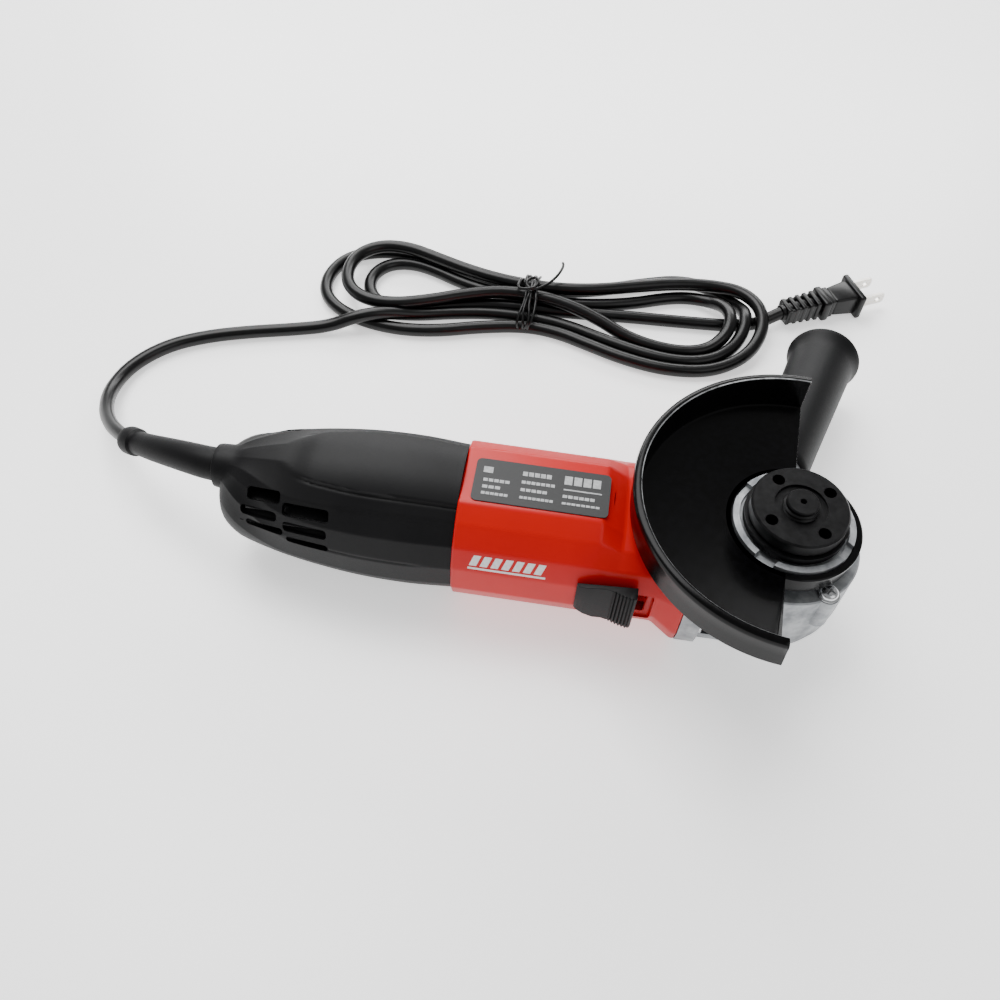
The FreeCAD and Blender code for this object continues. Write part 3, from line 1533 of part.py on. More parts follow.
def cord_entry():
    # the strap that grips the cord inside the cover, and its two screws
    height, half = S.boss_height, S.clamp_width / 2
    top = height + S.cord_radius + 1.4
    strap = block("strap_bar", (S.clamp_x - half, -8.4, height + 0.2), (S.clamp_x + half, 8.4, top))
    groove = S.cord_radius + S.running_gap
    cuts = [cylinder("strap_groove", groove, 12, (S.clamp_x - 6, 0, height), "X")]
    screws = []
    for side in (-1, 1):
        at = (S.clamp_x, side * 6.2, top)
        cuts.append(cylinder("strap_hole%d" % side, 1.3, 20, (at[0], at[1], height - 5)))
        screws.append(screw("strap_screw%d" % side, 2.1, 1.2, 1.2, 12, at))
    finish("cord_clamp", cut("cord_clamp", strap, cuts))
    finish("cord_clamp_screws", grouped("cord_clamp_screws", screws))


ring_gear()
pinion()
spindle()
inner_flange()
lock_nut()
bearings()
armature()
fan()
stator()
brush_gear()
motor_housing()
gear_case()
bearing_box()
case_screws()
wheel_guard()
guard_clamp()
side_handle()
slide_switch()
spindle_lock()
rear_cover()
cord_guard()
power_cord()
plug()
cord_entry()
doc.recompute()

for item in doc.Objects:
    if "Invalid" in item.State or "Error" in item.State:
        raise RuntimeError("%s failed: %s" % (item.Name, item.State))
for label, item in finished_parts.items():
    if item.Shape.isNull() or not item.Shape.isValid():
        raise RuntimeError("%s has no valid shape" % label)

os.makedirs("parts", exist_ok=True)
for label, item in finished_parts.items():
    item.Shape.exportStep(os.path.join("parts", label + ".step"))
    box = item.Shape.BoundBox
    spans = (box.XMin, box.XMax, box.YMin, box.YMax, box.ZMin, box.ZMax)
    solids = len(item.Shape.Solids)
    print("%-20s solids %2d  x %.1f..%.1f  y %.1f..%.1f  z %.1f..%.1f" % ((label, solids) + spans))
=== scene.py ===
import math
import bmesh
import bpy
from mathutils import Euler, Matrix, Vector


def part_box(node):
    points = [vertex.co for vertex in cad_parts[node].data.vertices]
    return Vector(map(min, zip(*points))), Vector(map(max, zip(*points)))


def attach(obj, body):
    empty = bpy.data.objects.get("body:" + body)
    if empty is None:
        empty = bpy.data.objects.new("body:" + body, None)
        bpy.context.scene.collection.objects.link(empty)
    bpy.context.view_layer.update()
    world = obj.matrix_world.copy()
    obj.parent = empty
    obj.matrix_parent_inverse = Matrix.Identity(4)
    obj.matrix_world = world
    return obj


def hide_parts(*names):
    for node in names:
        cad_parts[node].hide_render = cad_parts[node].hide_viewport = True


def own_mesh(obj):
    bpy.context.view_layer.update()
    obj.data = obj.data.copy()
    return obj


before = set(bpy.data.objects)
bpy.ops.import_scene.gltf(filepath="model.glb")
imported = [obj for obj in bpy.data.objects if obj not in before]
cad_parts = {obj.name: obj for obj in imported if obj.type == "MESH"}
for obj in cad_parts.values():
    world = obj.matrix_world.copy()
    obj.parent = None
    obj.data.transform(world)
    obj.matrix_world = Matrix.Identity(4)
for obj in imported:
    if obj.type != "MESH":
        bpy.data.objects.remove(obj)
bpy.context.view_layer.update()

mm = 0.001
axisHeight = 32 * mm  # the motor's axis above the table
print("frame loaded", len(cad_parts), "nodes")


# ---------- materials

def toLinear(hexColour):
    channels = [int(hexColour[i:i + 2], 16) / 255 for i in (1, 3, 5)]
    return [c / 12.92 if c <= 0.04045 else ((c + 0.055) / 1.055) ** 2.4 for c in channels] + [1]


def addNode(tree, kind, settings=(), links=()):
    node = tree.nodes.new("ShaderNode" + kind)
    for name, value in dict(settings).items():
        if name in node.inputs:
            node.inputs[name].default_value = value
        else:
            setattr(node, name, value)
    for name, source in dict(links).items():
        tree.links.new(source, node.inputs[name])
    return node


def newMaterial(name, **shader):
    material = bpy.data.materials.new(name)
    material.use_nodes = True
    tree = material.node_tree
    surface = tree.nodes["Principled BSDF"]
    for socket, value in shader.items():
        surface.inputs[socket.replace("_", " ")].default_value = value
    place = addNode(tree, "TexCoord").outputs["Object"]
    return material, tree, surface, place


def addBump(tree, surface, height, strength, depth):
    bump = addNode(tree, "Bump", {"Strength": strength, "Distance": depth}, {"Height": height})
    tree.links.new(bump.outputs["Normal"], surface.inputs["Normal"])


def varyColour(tree, surface, factor, dark, light, low=0.35, high=0.65):
    ramp = addNode(tree, "ValToRGB", {}, {"Fac": factor})
    ramp.color_ramp.elements[0].position = low
    ramp.color_ramp.elements[1].position = high
    ramp.color_ramp.elements[0].color = toLinear(dark)
    ramp.color_ramp.elements[1].color = toLinear(light)
    tree.links.new(ramp.outputs["Color"], surface.inputs["Base Color"])


def varyRoughness(tree, surface, factor, low, high):
    spread = addNode(tree, "MapRange", {"To Min": low, "To Max": high}, {"Value": factor})
    tree.links.new(spread.outputs["Result"], surface.inputs["Roughness"])


def makeRedAbs():
    # injection-moulded ABS with a polished mould: strong colour, a soft broad gloss
    material, tree, surface, place = newMaterial("mouldedRedAbs", Specular_IOR_Level=0.22, IOR=1.53)
    broad = addNode(tree, "TexNoise", {"Scale": 18, "Detail": 2}, {"Vector": place})
    fine = addNode(tree, "TexNoise", {"Scale": 1 / (0.9 * mm), "Detail": 2}, {"Vector": place})
    varyColour(tree, surface, broad.outputs["Fac"], "#ba0001", "#c60001")
    varyRoughness(tree, surface, fine.outputs["Fac"], 0.27, 0.4)
    addBump(tree, surface, fine.outputs["Fac"], 0.12, 0.05 * mm)
    return material


def makeBlackNylon():
    # glass-filled nylon from a spark-eroded mould: fine grain, dull, slightly grey where it catches light
    material, tree, surface, place = newMaterial("sparkErodedNylon", Specular_IOR_Level=0.16, IOR=1.53)
    grit = {"Scale": 1 / (0.7 * mm), "Detail": 4, "Roughness": 0.7}
    grain = addNode(tree, "TexNoise", grit, {"Vector": place})
    broad = addNode(tree, "TexNoise", {"Scale": 30, "Detail": 3}, {"Vector": place})
    varyColour(tree, surface, broad.outputs["Fac"], "#08080a", "#101011")
    varyRoughness(tree, surface, grain.outputs["Fac"], 0.38, 0.6)
    addBump(tree, surface, grain.outputs["Fac"], 0.35, 0.1 * mm)
    return material


def makeGripRubber():
    # soft-touch moulded handle: even, dull black with a fine grain
    material, tree, surface, place = newMaterial("softTouchGrip", Specular_IOR_Level=0.16, IOR=1.5)
    grain = addNode(tree, "TexNoise", {"Scale": 1 / (0.8 * mm), "Detail": 3}, {"Vector": place})
    broad = addNode(tree, "TexNoise", {"Scale": 24, "Detail": 2}, {"Vector": place})
    varyColour(tree, surface, broad.outputs["Fac"], "#08080a", "#0f0f10")
    varyRoughness(tree, surface, grain.outputs["Fac"], 0.42, 0.6)
    addBump(tree, surface, grain.outputs["Fac"], 0.25, 0.08 * mm)
    return material


def makeCordPvc():
    # extruded PVC sheath: black and shiny, with faint ripples along its length
    material, tree, surface, place = newMaterial("cordPvc", Specular_IOR_Level=0.26, IOR=1.53)
    ripple = addNode(tree, "TexNoise", {"Scale": 1 / (5 * mm), "Detail": 2}, {"Vector": place})
    varyColour(tree, surface, ripple.outputs["Fac"], "#030303", "#060607")
    varyRoughness(tree, surface, ripple.outputs["Fac"], 0.26, 0.34)
    addBump(tree, surface, ripple.outputs["Fac"], 0.02, 0.2 * mm)
    return material


def makeGuardPaint():
    # stove enamel on pressed steel: deep gloss black with a slight orange peel
    material, tree, surface, place = newMaterial(
        "stoveEnamel", Specular_IOR_Level=0.12, Coat_Weight=0.03, Coat_Roughness=0.08, IOR=1.5
    )
    peel = addNode(tree, "TexNoise", {"Scale": 1 / (2.5 * mm), "Detail": 2}, {"Vector": place})
    varyColour(tree, surface, peel.outputs["Fac"], "#020202", "#040405")
    varyRoughness(tree, surface, peel.outputs["Fac"], 0.16, 0.26)
    addBump(tree, surface, peel.outputs["Fac"], 0.05, 0.1 * mm)
    return material


def makeRimHighlightPaint():
    # painted highlight: the rim's inner lip gets a light grey, partly metallic colour that stands in for the
    # bright edge highlight there
    material, tree, surface, place = newMaterial("paintedRimHighlight", Metallic=0.7)
    glintSpread = {"Scale": 1 / (6 * mm), "Detail": 5, "Roughness": 0.7}
    glintNoise = addNode(tree, "TexNoise", glintSpread, {"Vector": place})
    varyColour(tree, surface, glintNoise.outputs["Fac"], "#4a4b4d", "#c9cbcd", 0.3, 0.6)
    varyRoughness(tree, surface, glintNoise.outputs["Fac"], 0.2, 0.4)
    return material


def makeCastAluminium():
    # pressure-cast and shot-blasted aluminium: pale grey, sparkling in patches
    material, tree, surface, place = newMaterial("blastedCastAluminium", Metallic=0.85)
    shot = addNode(tree, "TexVoronoi", {"Scale": 1 / (0.9 * mm)}, {"Vector": place})
    clouds = {"Scale": 1 / (9 * mm), "Detail": 5, "Roughness": 0.6}
    patch = addNode(tree, "TexNoise", clouds, {"Vector": place})
    varyColour(tree, surface, patch.outputs["Fac"], "#7d8083", "#b4b6b8")
    varyRoughness(tree, surface, patch.outputs["Fac"], 0.42, 0.6)
    addBump(tree, surface, shot.outputs["Distance"], 0.3, 0.12 * mm)
    return material


def makeMachinedSteel(name, dark, light, low, high):
    # turned steel: faint rings and streaks round the axis
    material, tree, surface, place = newMaterial(name, Metallic=1)
    stretched = addNode(tree, "Mapping", {"Scale": (1, 1, 14)}, {"Vector": place})
    streak = addNode(tree, "TexNoise", {"Scale": 120, "Detail": 6}, {"Vector": stretched.outputs["Vector"]})
    varyColour(tree, surface, streak.outputs["Fac"], dark, light)
    varyRoughness(tree, surface, streak.outputs["Fac"], low, high)
    addBump(tree, surface, streak.outputs["Fac"], 0.08, 0.05 * mm)
    return material


def makeBlackSteel(name, streaks):
    # blackened steel, phosphated and oiled: dark, half metallic, with rub marks
    material, tree, surface, place = newMaterial(name, Metallic=0.5, Specular_IOR_Level=0.35)
    stretched = addNode(tree, "Mapping", {"Scale": streaks}, {"Vector": place})
    marks = {"Scale": 300, "Detail": 5, "Roughness": 0.65}
    rub = addNode(tree, "TexNoise", marks, {"Vector": stretched.outputs["Vector"]})
    varyColour(tree, surface, rub.outputs["Fac"], "#060607", "#151516", 0.35, 0.75)
    varyRoughness(tree, surface, rub.outputs["Fac"], 0.26, 0.5)
    addBump(tree, surface, rub.outputs["Fac"], 0.15, 0.08 * mm)
    return material


def makeCopper():
    # enamelled winding wire under varnish: fine turns, amber gloss
    material, tree, surface, place = newMaterial("varnishedWinding", Metallic=0.8, Coat_Weight=0.4)
    bands = {"Scale": 1 / (3 * mm), "bands_direction": "DIAGONAL"}
    turns = addNode(tree, "TexWave", bands, {"Vector": place})
    varyColour(tree, surface, turns.outputs["Fac"], "#7c3f1d", "#c47a45", 0.2, 0.8)
    varyRoughness(tree, surface, turns.outputs["Fac"], 0.3, 0.45)
    addBump(tree, surface, turns.outputs["Fac"], 0.5, 0.15 * mm)
    return material


def makeLaminations():
    # stacked sheets of electrical steel: thin lines across the motor's axis
    material, tree, surface, place = newMaterial("laminatedSteel", Metallic=0.8)
    sheets = addNode(tree, "TexWave", {"Scale": 1 / (6 * mm)}, {"Vector": place})
    varyColour(tree, surface, sheets.outputs["Fac"], "#4c4d50", "#74767a", 0.2, 0.8)
    varyRoughness(tree, surface, sheets.outputs["Fac"], 0.4, 0.6)
    addBump(tree, surface, sheets.outputs["Fac"], 0.4, 0.1 * mm)
    return material


def makeCarbon():
    # pressed carbon and graphite: dull, dusty black
    material, tree, surface, place = newMaterial("pressedCarbon", Specular_IOR_Level=0.3)
    dust = addNode(tree, "TexNoise", {"Scale": 1 / (0.6 * mm), "Detail": 4}, {"Vector": place})
    varyColour(tree, surface, dust.outputs["Fac"], "#1b1b1c", "#303032")
    varyRoughness(tree, surface, dust.outputs["Fac"], 0.6, 0.85)
    return material


def makePrintedFilm(name, dark, light):
    # screen-printed film or ink: nearly flat, slightly satin
    material, tree, surface, place = newMaterial(name, Specular_IOR_Level=0.4)
    ink = addNode(tree, "TexNoise", {"Scale": 1 / (1.2 * mm), "Detail": 3}, {"Vector": place})
    varyColour(tree, surface, ink.outputs["Fac"], dark, light)
    varyRoughness(tree, surface, ink.outputs["Fac"], 0.4, 0.55)
    return material


redAbs = makeRedAbs()
blackNylon = makeBlackNylon()
gripRubber = makeGripRubber()
cordPvc = makeCordPvc()
guardPaint = makeGuardPaint()
# painted highlight colour for the guard rim's inner lip
rimHighlightPaint = makeRimHighlightPaint()
castAluminium = makeCastAluminium()
machinedSteel = makeMachinedSteel("turnedSteel", "#9b9c9e", "#c6c7c9", 0.22, 0.4)
zincSteel = makeMachinedSteel("zincPlatedSteel", "#b5b6b8", "#dedfe0", 0.15, 0.3)
nickelBrass = makeMachinedSteel("nickelPlatedBrass", "#c2beb6", "#e4e1db", 0.18, 0.32)
brass = makeMachinedSteel("drawnBrass", "#a98a4a", "#cdb070", 0.25, 0.4)
blackSteel = makeBlackSteel("blackenedSteel", (1, 1, 1))
blackKnurl = makeBlackSteel("blackenedSteelTurned", (1, 1, 0.08))
copper = makeCopper()
laminations = makeLaminations()
carbon = makeCarbon()
labelFilm = makePrintedFilm("labelFilm", "#0c0d0e", "#121314")
whiteInk = makePrintedFilm("whiteInk", "#d9dadb", "#ececec")
silverInk = makePrintedFilm("silverInk", "#9a9b9c", "#b4b5b6")
print("materials made")

nodeMaterials = [
    (castAluminium, ["gear_case", "bearing_box"]),
    (machinedSteel, [
        "bearing_retainer", "front_bearing", "rear_bearing", "spindle_bearing", "needle_bearing",
        "ring_gear", "armature_shaft", "pinion", "pinion_nut", "lock_pin",
    ]),
    (laminations, ["stator_core", "armature_core"]),
    (copper, ["field_coils", "armature_coils", "commutator"]),
    (blackNylon, ["fan_baffle", "switch_body", "cord_clamp", "fan", "switch_rod", "lock_button"]),
    (cordPvc, ["bearing_sleeve"]),
    (zincSteel, [
        "bearing_box_screws", "gear_case_screws", "rear_cover_screw", "brush_springs",
        "cord_clamp_screws", "lock_spring", "guard_clamp_screw", "guard_clamp_nut", "handle_stud",
    ]),
    (brass, ["brush_holders"]),
    (carbon, ["carbon_brushes"]),
    (blackKnurl, ["inner_flange"]),
    (blackSteel, ["lock_nut"]),
    (guardPaint, ["guard_clamp"]),
    (labelFilm, ["label_plate"]),
]


def dressNodes():
    for material, names in nodeMaterials:
        for name in names:
            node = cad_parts[name]
            node = node if hasattr(node, "data") else bpy.data.objects[name]
            node.data.materials.clear()
            node.data.materials.append(material)


dressNodes()


# ---------- small helpers

def addObject(name, data):
    made = bpy.data.objects.new(name, data)
    bpy.context.collection.objects.link(made)
    return made


def readMesh(piece):
    # the mesh as its modifiers or its curve make it
    return bpy.data.meshes.new_from_object(piece.evaluated_get(bpy.context.evaluated_depsgraph_get()))


def weld(bm, within=0.004):
    bmesh.ops.remove_doubles(bm, verts=bm.verts, dist=within * mm)
    bmesh.ops.recalc_face_normals(bm, faces=bm.faces)


def edgesOf(verts):
    # in a fixed order, so that every run makes the same mesh
    return list(dict.fromkeys(e for v in verts for e in v.link_edges))


def roundEdges(bm, edges, offset, segments=3, clamp=False):
    bmesh.ops.bevel(
        bm, geom=edges, offset=offset, affect="EDGES", segments=segments, profile=0.5, material=-1,
        clamp_overlap=clamp,
    )


def finishPiece(name, bm, material, body, node=None, sharp=32, recalc=False):
    if recalc:
        weld(bm, 0.01)
    mesh = bpy.data.meshes.new(name)
    bm.to_mesh(mesh)
    bm.free()
    materials = material if isinstance(material, list) else [material]
    for one in materials:
        mesh.materials.append(one)
    mesh.polygons.foreach_set("use_smooth", [True] * len(mesh.polygons))
    mesh.set_sharp_from_angle(angle=math.radians(sharp))
    piece = addObject(name, mesh)
    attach(piece, body)
    if node:
        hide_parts(*([node] if isinstance(node, str) else node))
    print("made", name, len(mesh.polygons), "faces")
    return piece


def spinProfile(bm, profile, axis, steps, angle=2 * math.pi, centre=(0, 0, 0), shift=None):
    verts = [bm.verts.new(point) for point in profile]
    edges = [bm.edges.new(pair) for pair in zip(verts, verts[1:])]
    bmesh.ops.spin(
        bm, geom=verts + edges, cent=centre, axis=axis, dvec=shift or (0, 0, 0), angle=angle,
        steps=steps, use_merge=shift is None and angle > 6.28, use_normal_flip=False, use_duplicate=False,
    )
    return verts


def addBlock(bm, size, at, turn=None, bevel=0.0, segments=3):
    # a box by its size and middle, with rounded edges
    place = Matrix.Translation(at) @ (turn.to_matrix().to_4x4() if turn else Matrix.Identity(4))
    made = bmesh.ops.create_cube(bm, size=1, matrix=place @ Matrix.Diagonal((*size, 1)))
    if bevel:
        roundEdges(bm, edgesOf(made["verts"]), bevel, segments)
    return made["verts"]


def cutAway(piece, bm, operation="DIFFERENCE"):
    # takes the shape in bm out of a finished piece, or adds it
    mesh = bpy.data.meshes.new("cutter")
    bmesh.ops.recalc_face_normals(bm, faces=bm.faces)
    bm.to_mesh(mesh)
    bm.free()
    for material in piece.data.materials:
        mesh.materials.append(material)
    cutter = addObject("cutter", mesh)
    modifier = piece.modifiers.new("cut", "BOOLEAN")
    modifier.object = cutter
    modifier.operation = operation
    modifier.solver = "EXACT"
    modifier.use_self = True
    result = readMesh(piece)
    old = piece.data
    piece.modifiers.clear()
    piece.data = result
    bpy.data.objects.remove(cutter)
    bpy.data.meshes.remove(mesh)
    bpy.data.meshes.remove(old)
    result.polygons.foreach_set("use_smooth", [True] * len(result.polygons))
    result.set_sharp_from_angle(angle=math.radians(32))
    print("cut", piece.name, len(result.polygons), "faces")


def smoothStep(value, low, high):
    share = min(1, max(0, (value - low) / (high - low)))
    return share * share * (3 - 2 * share)


def interpolate(rows, x):
    # the value at x on a smooth curve through (x, value) rows, which run upwards in x
    if x <= rows[0][0]:
        return rows[0][1]
    for i in range(len(rows) - 1):
        (x0, v0), (x1, v1) = rows[i], rows[i + 1]
        if x <= x1:
            before = rows[i - 1] if i else rows[i]
            after = rows[i + 2] if i + 2 < len(rows) else rows[i + 1]
            slope0 = (v1 - before[1]) / (x1 - before[0])
            slope1 = (after[1] - v0) / (after[0] - x0)
            share, span = (x - x0) / (x1 - x0), x1 - x0
            a, b = share ** 2, share ** 3
            return (
                (2 * b - 3 * a + 1) * v0 + (b - 2 * a + share) * span * slope0
                + (3 * a - 2 * b) * v1 + (b - a) * span * slope1
            )
    return rows[-1][1]


def curvePoints(points):
    # points read from the smooth spline of a route
    curve = routeCurve("reading", points)
    curve.resolution_u = 6
    holder = addObject("reading", curve)
    mesh = readMesh(holder)
    line = [v.co.copy() for v in mesh.vertices]
    bpy.data.objects.remove(holder)
    bpy.data.meshes.remove(mesh)
    return line


def routeCurve(name, points):
    curve = bpy.data.curves.new(name, "CURVE")
    curve.dimensions = "3D"
    spline = curve.splines.new("NURBS")
    spline.points.add(len(points) - 1)
    for target, (x, y, z) in zip(spline.points, points):
        target.co = (x * mm, y * mm, z * mm, 1)
    spline.order_u = 3
    spline.use_endpoint_u = True
    return curve


# ---------- camera, light and table

camera = {
    "place": (-94.6 * mm, -240.1 * mm, 375.4 * mm),
    "down": 53.77,  # degrees below the horizon
    "left": 5.04,
    "roll": 4.0,
    "lens": 36,
    "sensor": 36,
}


def placeCamera():
    data = bpy.data.cameras.new("camera")
    data.lens = camera["lens"]
    data.sensor_width = camera["sensor"]
    data.clip_start = 0.01
    holder = addObject("camera", data)
    turn = Matrix.Rotation(math.radians(camera["left"]), 4, "Z")
    turn = turn @ Matrix.Rotation(math.radians(90 - camera["down"]), 4, "X")
    turn = turn @ Matrix.Rotation(math.radians(camera["roll"]), 4, "Z")
    holder.matrix_world = Matrix.Translation(camera["place"]) @ turn
    bpy.context.scene.camera = holder


lamps = [
    # name, place, size, power, where it points
    ("keyLamp", (-0.5, 0.5, 1.1), (0.9, 0.9), 21, (-0.1, 0.05, 0)),
    ("fillLamp", (0.7, -0.5, 0.9), (0.8, 0.8), 3, (-0.1, 0, 0)),
    ("stripLamp", (-0.15, 1.0, 0.5), (1.2, 0.3), 10, (-0.1, 0, 0.03)),
]


def lightScene():
    for name, place, size, power, target in lamps:
        data = bpy.data.lights.new(name, "AREA")
        data.shape = "RECTANGLE"
        data.size, data.size_y = size
        data.energy = power
        lamp = addObject(name, data)
        lamp.location = place
        lamp.rotation_euler = (Vector(target) - Vector(place)).to_track_quat("-Z", "Y").to_euler()
    world = bpy.data.worlds.new("studio")
    world.use_nodes = True
    sky = world.node_tree.nodes["Background"].inputs
    sky["Color"].default_value = (1, 1, 1, 1)
    sky["Strength"].default_value = 0.42
    bpy.context.scene.world = world


def layTable():
    bm = bmesh.new()
    bmesh.ops.create_grid(bm, x_segments=1, y_segments=1, size=4)
    mesh = bpy.data.meshes.new("table")
    bm.to_mesh(mesh)
    bm.free()
    material = newMaterial(
        "paleTable", Base_Color=toLinear("#fdfdfd"), Roughness=0.3, Emission_Color=(1, 1, 1, 1),
        Emission_Strength=0.8,
    )[0]
    mesh.materials.append(material)
    addObject("table", mesh)


placeCamera()
lightScene()
layTable()
print("camera, lamps and table placed")


# ---------- cord

cordSizes = {"diameter": 6.8 * mm, "tieWire": 1.5 * mm}

# from inside the rear cover, down to the table and round to the hank
toolLead = [
    (-219, 0, 43.05), (-235, 0, 42.95), (-256, 6, 38.8), (-271, 11.8, 33), (-285, 19, 26.6),
    (-299, 30.5, 19), (-310, 46, 11.4), (-315.5, 64, 5.8), (-312, 83, 3.6), (-299.5, 98.5, 3.6),
    (-282, 108.5, 3.6), (-262, 115.5, 3.6), (-240, 121.5, 3.6), (-222, 126.8, 4.2),
]
# the hank's turns, through the tie at x = -122 each way
hankTurns = [
    (-208, 131.6, 9.6), (-195, 136.4, 9.6), (-180, 142.3, 5), (-162, 148.6, 3.8), (-142, 152.6, 3.8),
    (-122, 153.4, 3.6), (-101, 151, 3.6), (-80, 143.6, 3.6), (-58, 137, 3.6), (-38, 134.8, 3.6),
    (-21, 139.5, 4.2), (-9.5, 152, 6.4), (-6, 168, 11.6), (-10.5, 183.2, 4), (-24, 194.4, 3.6),
    (-42, 197.6, 3.6),
    (-62, 191, 3.6), (-85, 181.4, 3.6), (-104, 176.2, 3.6), (-122, 174.4, 3.6), (-142, 177.6, 3.6),
    (-165, 184.6, 3.6), (-188, 191, 3.6), (-209, 190.4, 3.6), (-225.5, 182, 3.6), (-232.5, 167, 3.6),
    (-231.5, 152, 3.6), (-222, 141, 3.6), (-206, 134.2, 3.4), (-186, 131.8, 3.4), (-166, 134.4, 3.6),
    (-146, 141, 3.6), (-122, 146.4, 3.6), (-104, 144.6, 3.6), (-88, 138.8, 3.6), (-68, 131.8, 3.6),
    (-46, 128, 3.6), (-23, 131, 3.6), (-5.5, 142.5, 6), (2.2, 158, 9.8), (1.2, 174, 12), (-9, 186, 11.6),
    (-26, 189.2, 10.4), (-46, 186.6, 10.4), (-66, 180.8, 10.2), (-86, 174.6, 10), (-104, 171.4, 10),
    (-122, 170.8, 10), (-142, 173.2, 9.8), (-160, 178, 9.6), (-177, 183.6, 10), (-192, 188.2, 10.4),
    (-207, 187.4, 10.4), (-218, 179, 10.2), (-221.5, 166, 10.2), (-218.5, 152.5, 10.2), (-208, 144, 10.2),
    (-192, 143, 10.2), (-174, 149, 10.2), (-156, 157, 10.4), (-139, 162.6, 10.6), (-122, 163.6, 10.4),
    (-104, 161, 10.2), (-86, 155.4, 8), (-69, 147.4, 4.6), (-53, 143.4, 3.6), (-38, 142.4, 3.6),
    (-26.2, 145.4, 4.4), (-18.8, 151, 7.6), (-15, 159, 10.4), (-15, 168.2, 10.8), (-18.8, 176.7, 8.4),
    (-25.8, 182.6, 4.8), (-36.4, 184.6, 3.6), (-48, 182.2, 3.6),
    (-66, 174.6, 3.6), (-84, 169.6, 3.6), (-104, 167, 3.6), (-122, 167.2, 3.6),
    (-142, 168.6, 3.6), (-160, 173, 3.6), (-177, 180.6, 3.6), (-189.4, 183.4, 3.6), (-200.3, 181.1, 3.6),
    (-207.1, 174.3, 3.6), (-209.6, 165, 3.6), (-207.1, 155.7, 3.6), (-200.3, 148.9, 3.6), (-189.2, 147, 3.6),
    (-177.5, 149.8, 3.6), (-166, 153.6, 3.6), (-157, 156, 3.6), (-140, 159.6, 3.6),
    (-122, 160.3, 3.6), (-104, 160.6, 3.6), (-86, 162, 3.6), (-66, 163.6, 3.6), (-46, 164.6, 3.6),
    (-28, 165.8, 3.6), (-13, 167.2, 3.5), (-1, 170.6, 3.6), (6, 174.2, 5.4), (12.5, 177.8, 7.6),
]


def layCurve(name, points, diameter, rounding, steps, nodes):
    curve = routeCurve(name, points)
    curve.bevel_depth = diameter / 2
    curve.bevel_resolution = rounding
    curve.resolution_u = steps
    curve.use_fill_caps = True
    curve.materials.append(cordPvc)
    piece = addObject(name, curve)
    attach(piece, "housing")
    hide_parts(*nodes)
    return piece


def makeCord():
    points = toolLead + hankTurns
    nodes = ["power_cord", "plug_lead", "cord_hank"]
    cord = layCurve("mainsCord", points, cordSizes["diameter"], 5, 8, nodes)
    line = curvePoints(points)
    length = sum((b - a).length for a, b in zip(line, line[1:]))
    print("cord length", round(length, 3))
    return cord, length


mainsCord, cordLength = makeCord()

tieSizes = {
    "turns": 4, "middle": (-122, 160.6, 7.6), "halfWidth": 19.2, "halfHeight": 8.4, "lowest": 0.8, "along": 8,
}


def makeTie():
    # a wire tie wound round the bundle, its two ends twisted up
    points = []
    perTurn = 12
    x, y, z = tieSizes["middle"]
    steps = tieSizes["turns"] * perTurn
    for i in range(steps + 1):
        angle = math.tau * i / perTurn - 0.6
        wobble = math.sin(i * 1.7) * 1.1 + math.sin(i * 0.52) * 1.4
        along = x + tieSizes["along"] * (i / steps - 0.5) + wobble
        height = max(z + tieSizes["halfHeight"] * math.sin(angle), tieSizes["lowest"])
        points.append((along, y + tieSizes["halfWidth"] * math.cos(angle), height))
    start = [(-119, 158, 21), (-124, 156, 20), (-129, 160, 17.5), (-127, 170, 16.5)]
    end = [(-113, 165, 17.5), (-108, 172, 19), (-106, 181, 18.4), (-107, 184, 17)]
    loop = [(-121, 160, 17), (-117, 165, 18.5), (-121, 168, 19.4), (-125, 163, 18.6), (-121, 158.5, 17.4)]
    return layCurve("wireTie", start + points + loop + end, cordSizes["tieWire"], 3, 6, ["cord_tie"])


wireTie = makeTie()

plugSizes = {
    "start": (12.5 * mm, 177.8 * mm, 7.6 * mm),
    "turn": 28,
    "bladeGap": 12.7 * mm,
    "bladeLength": 16.4 * mm,
}


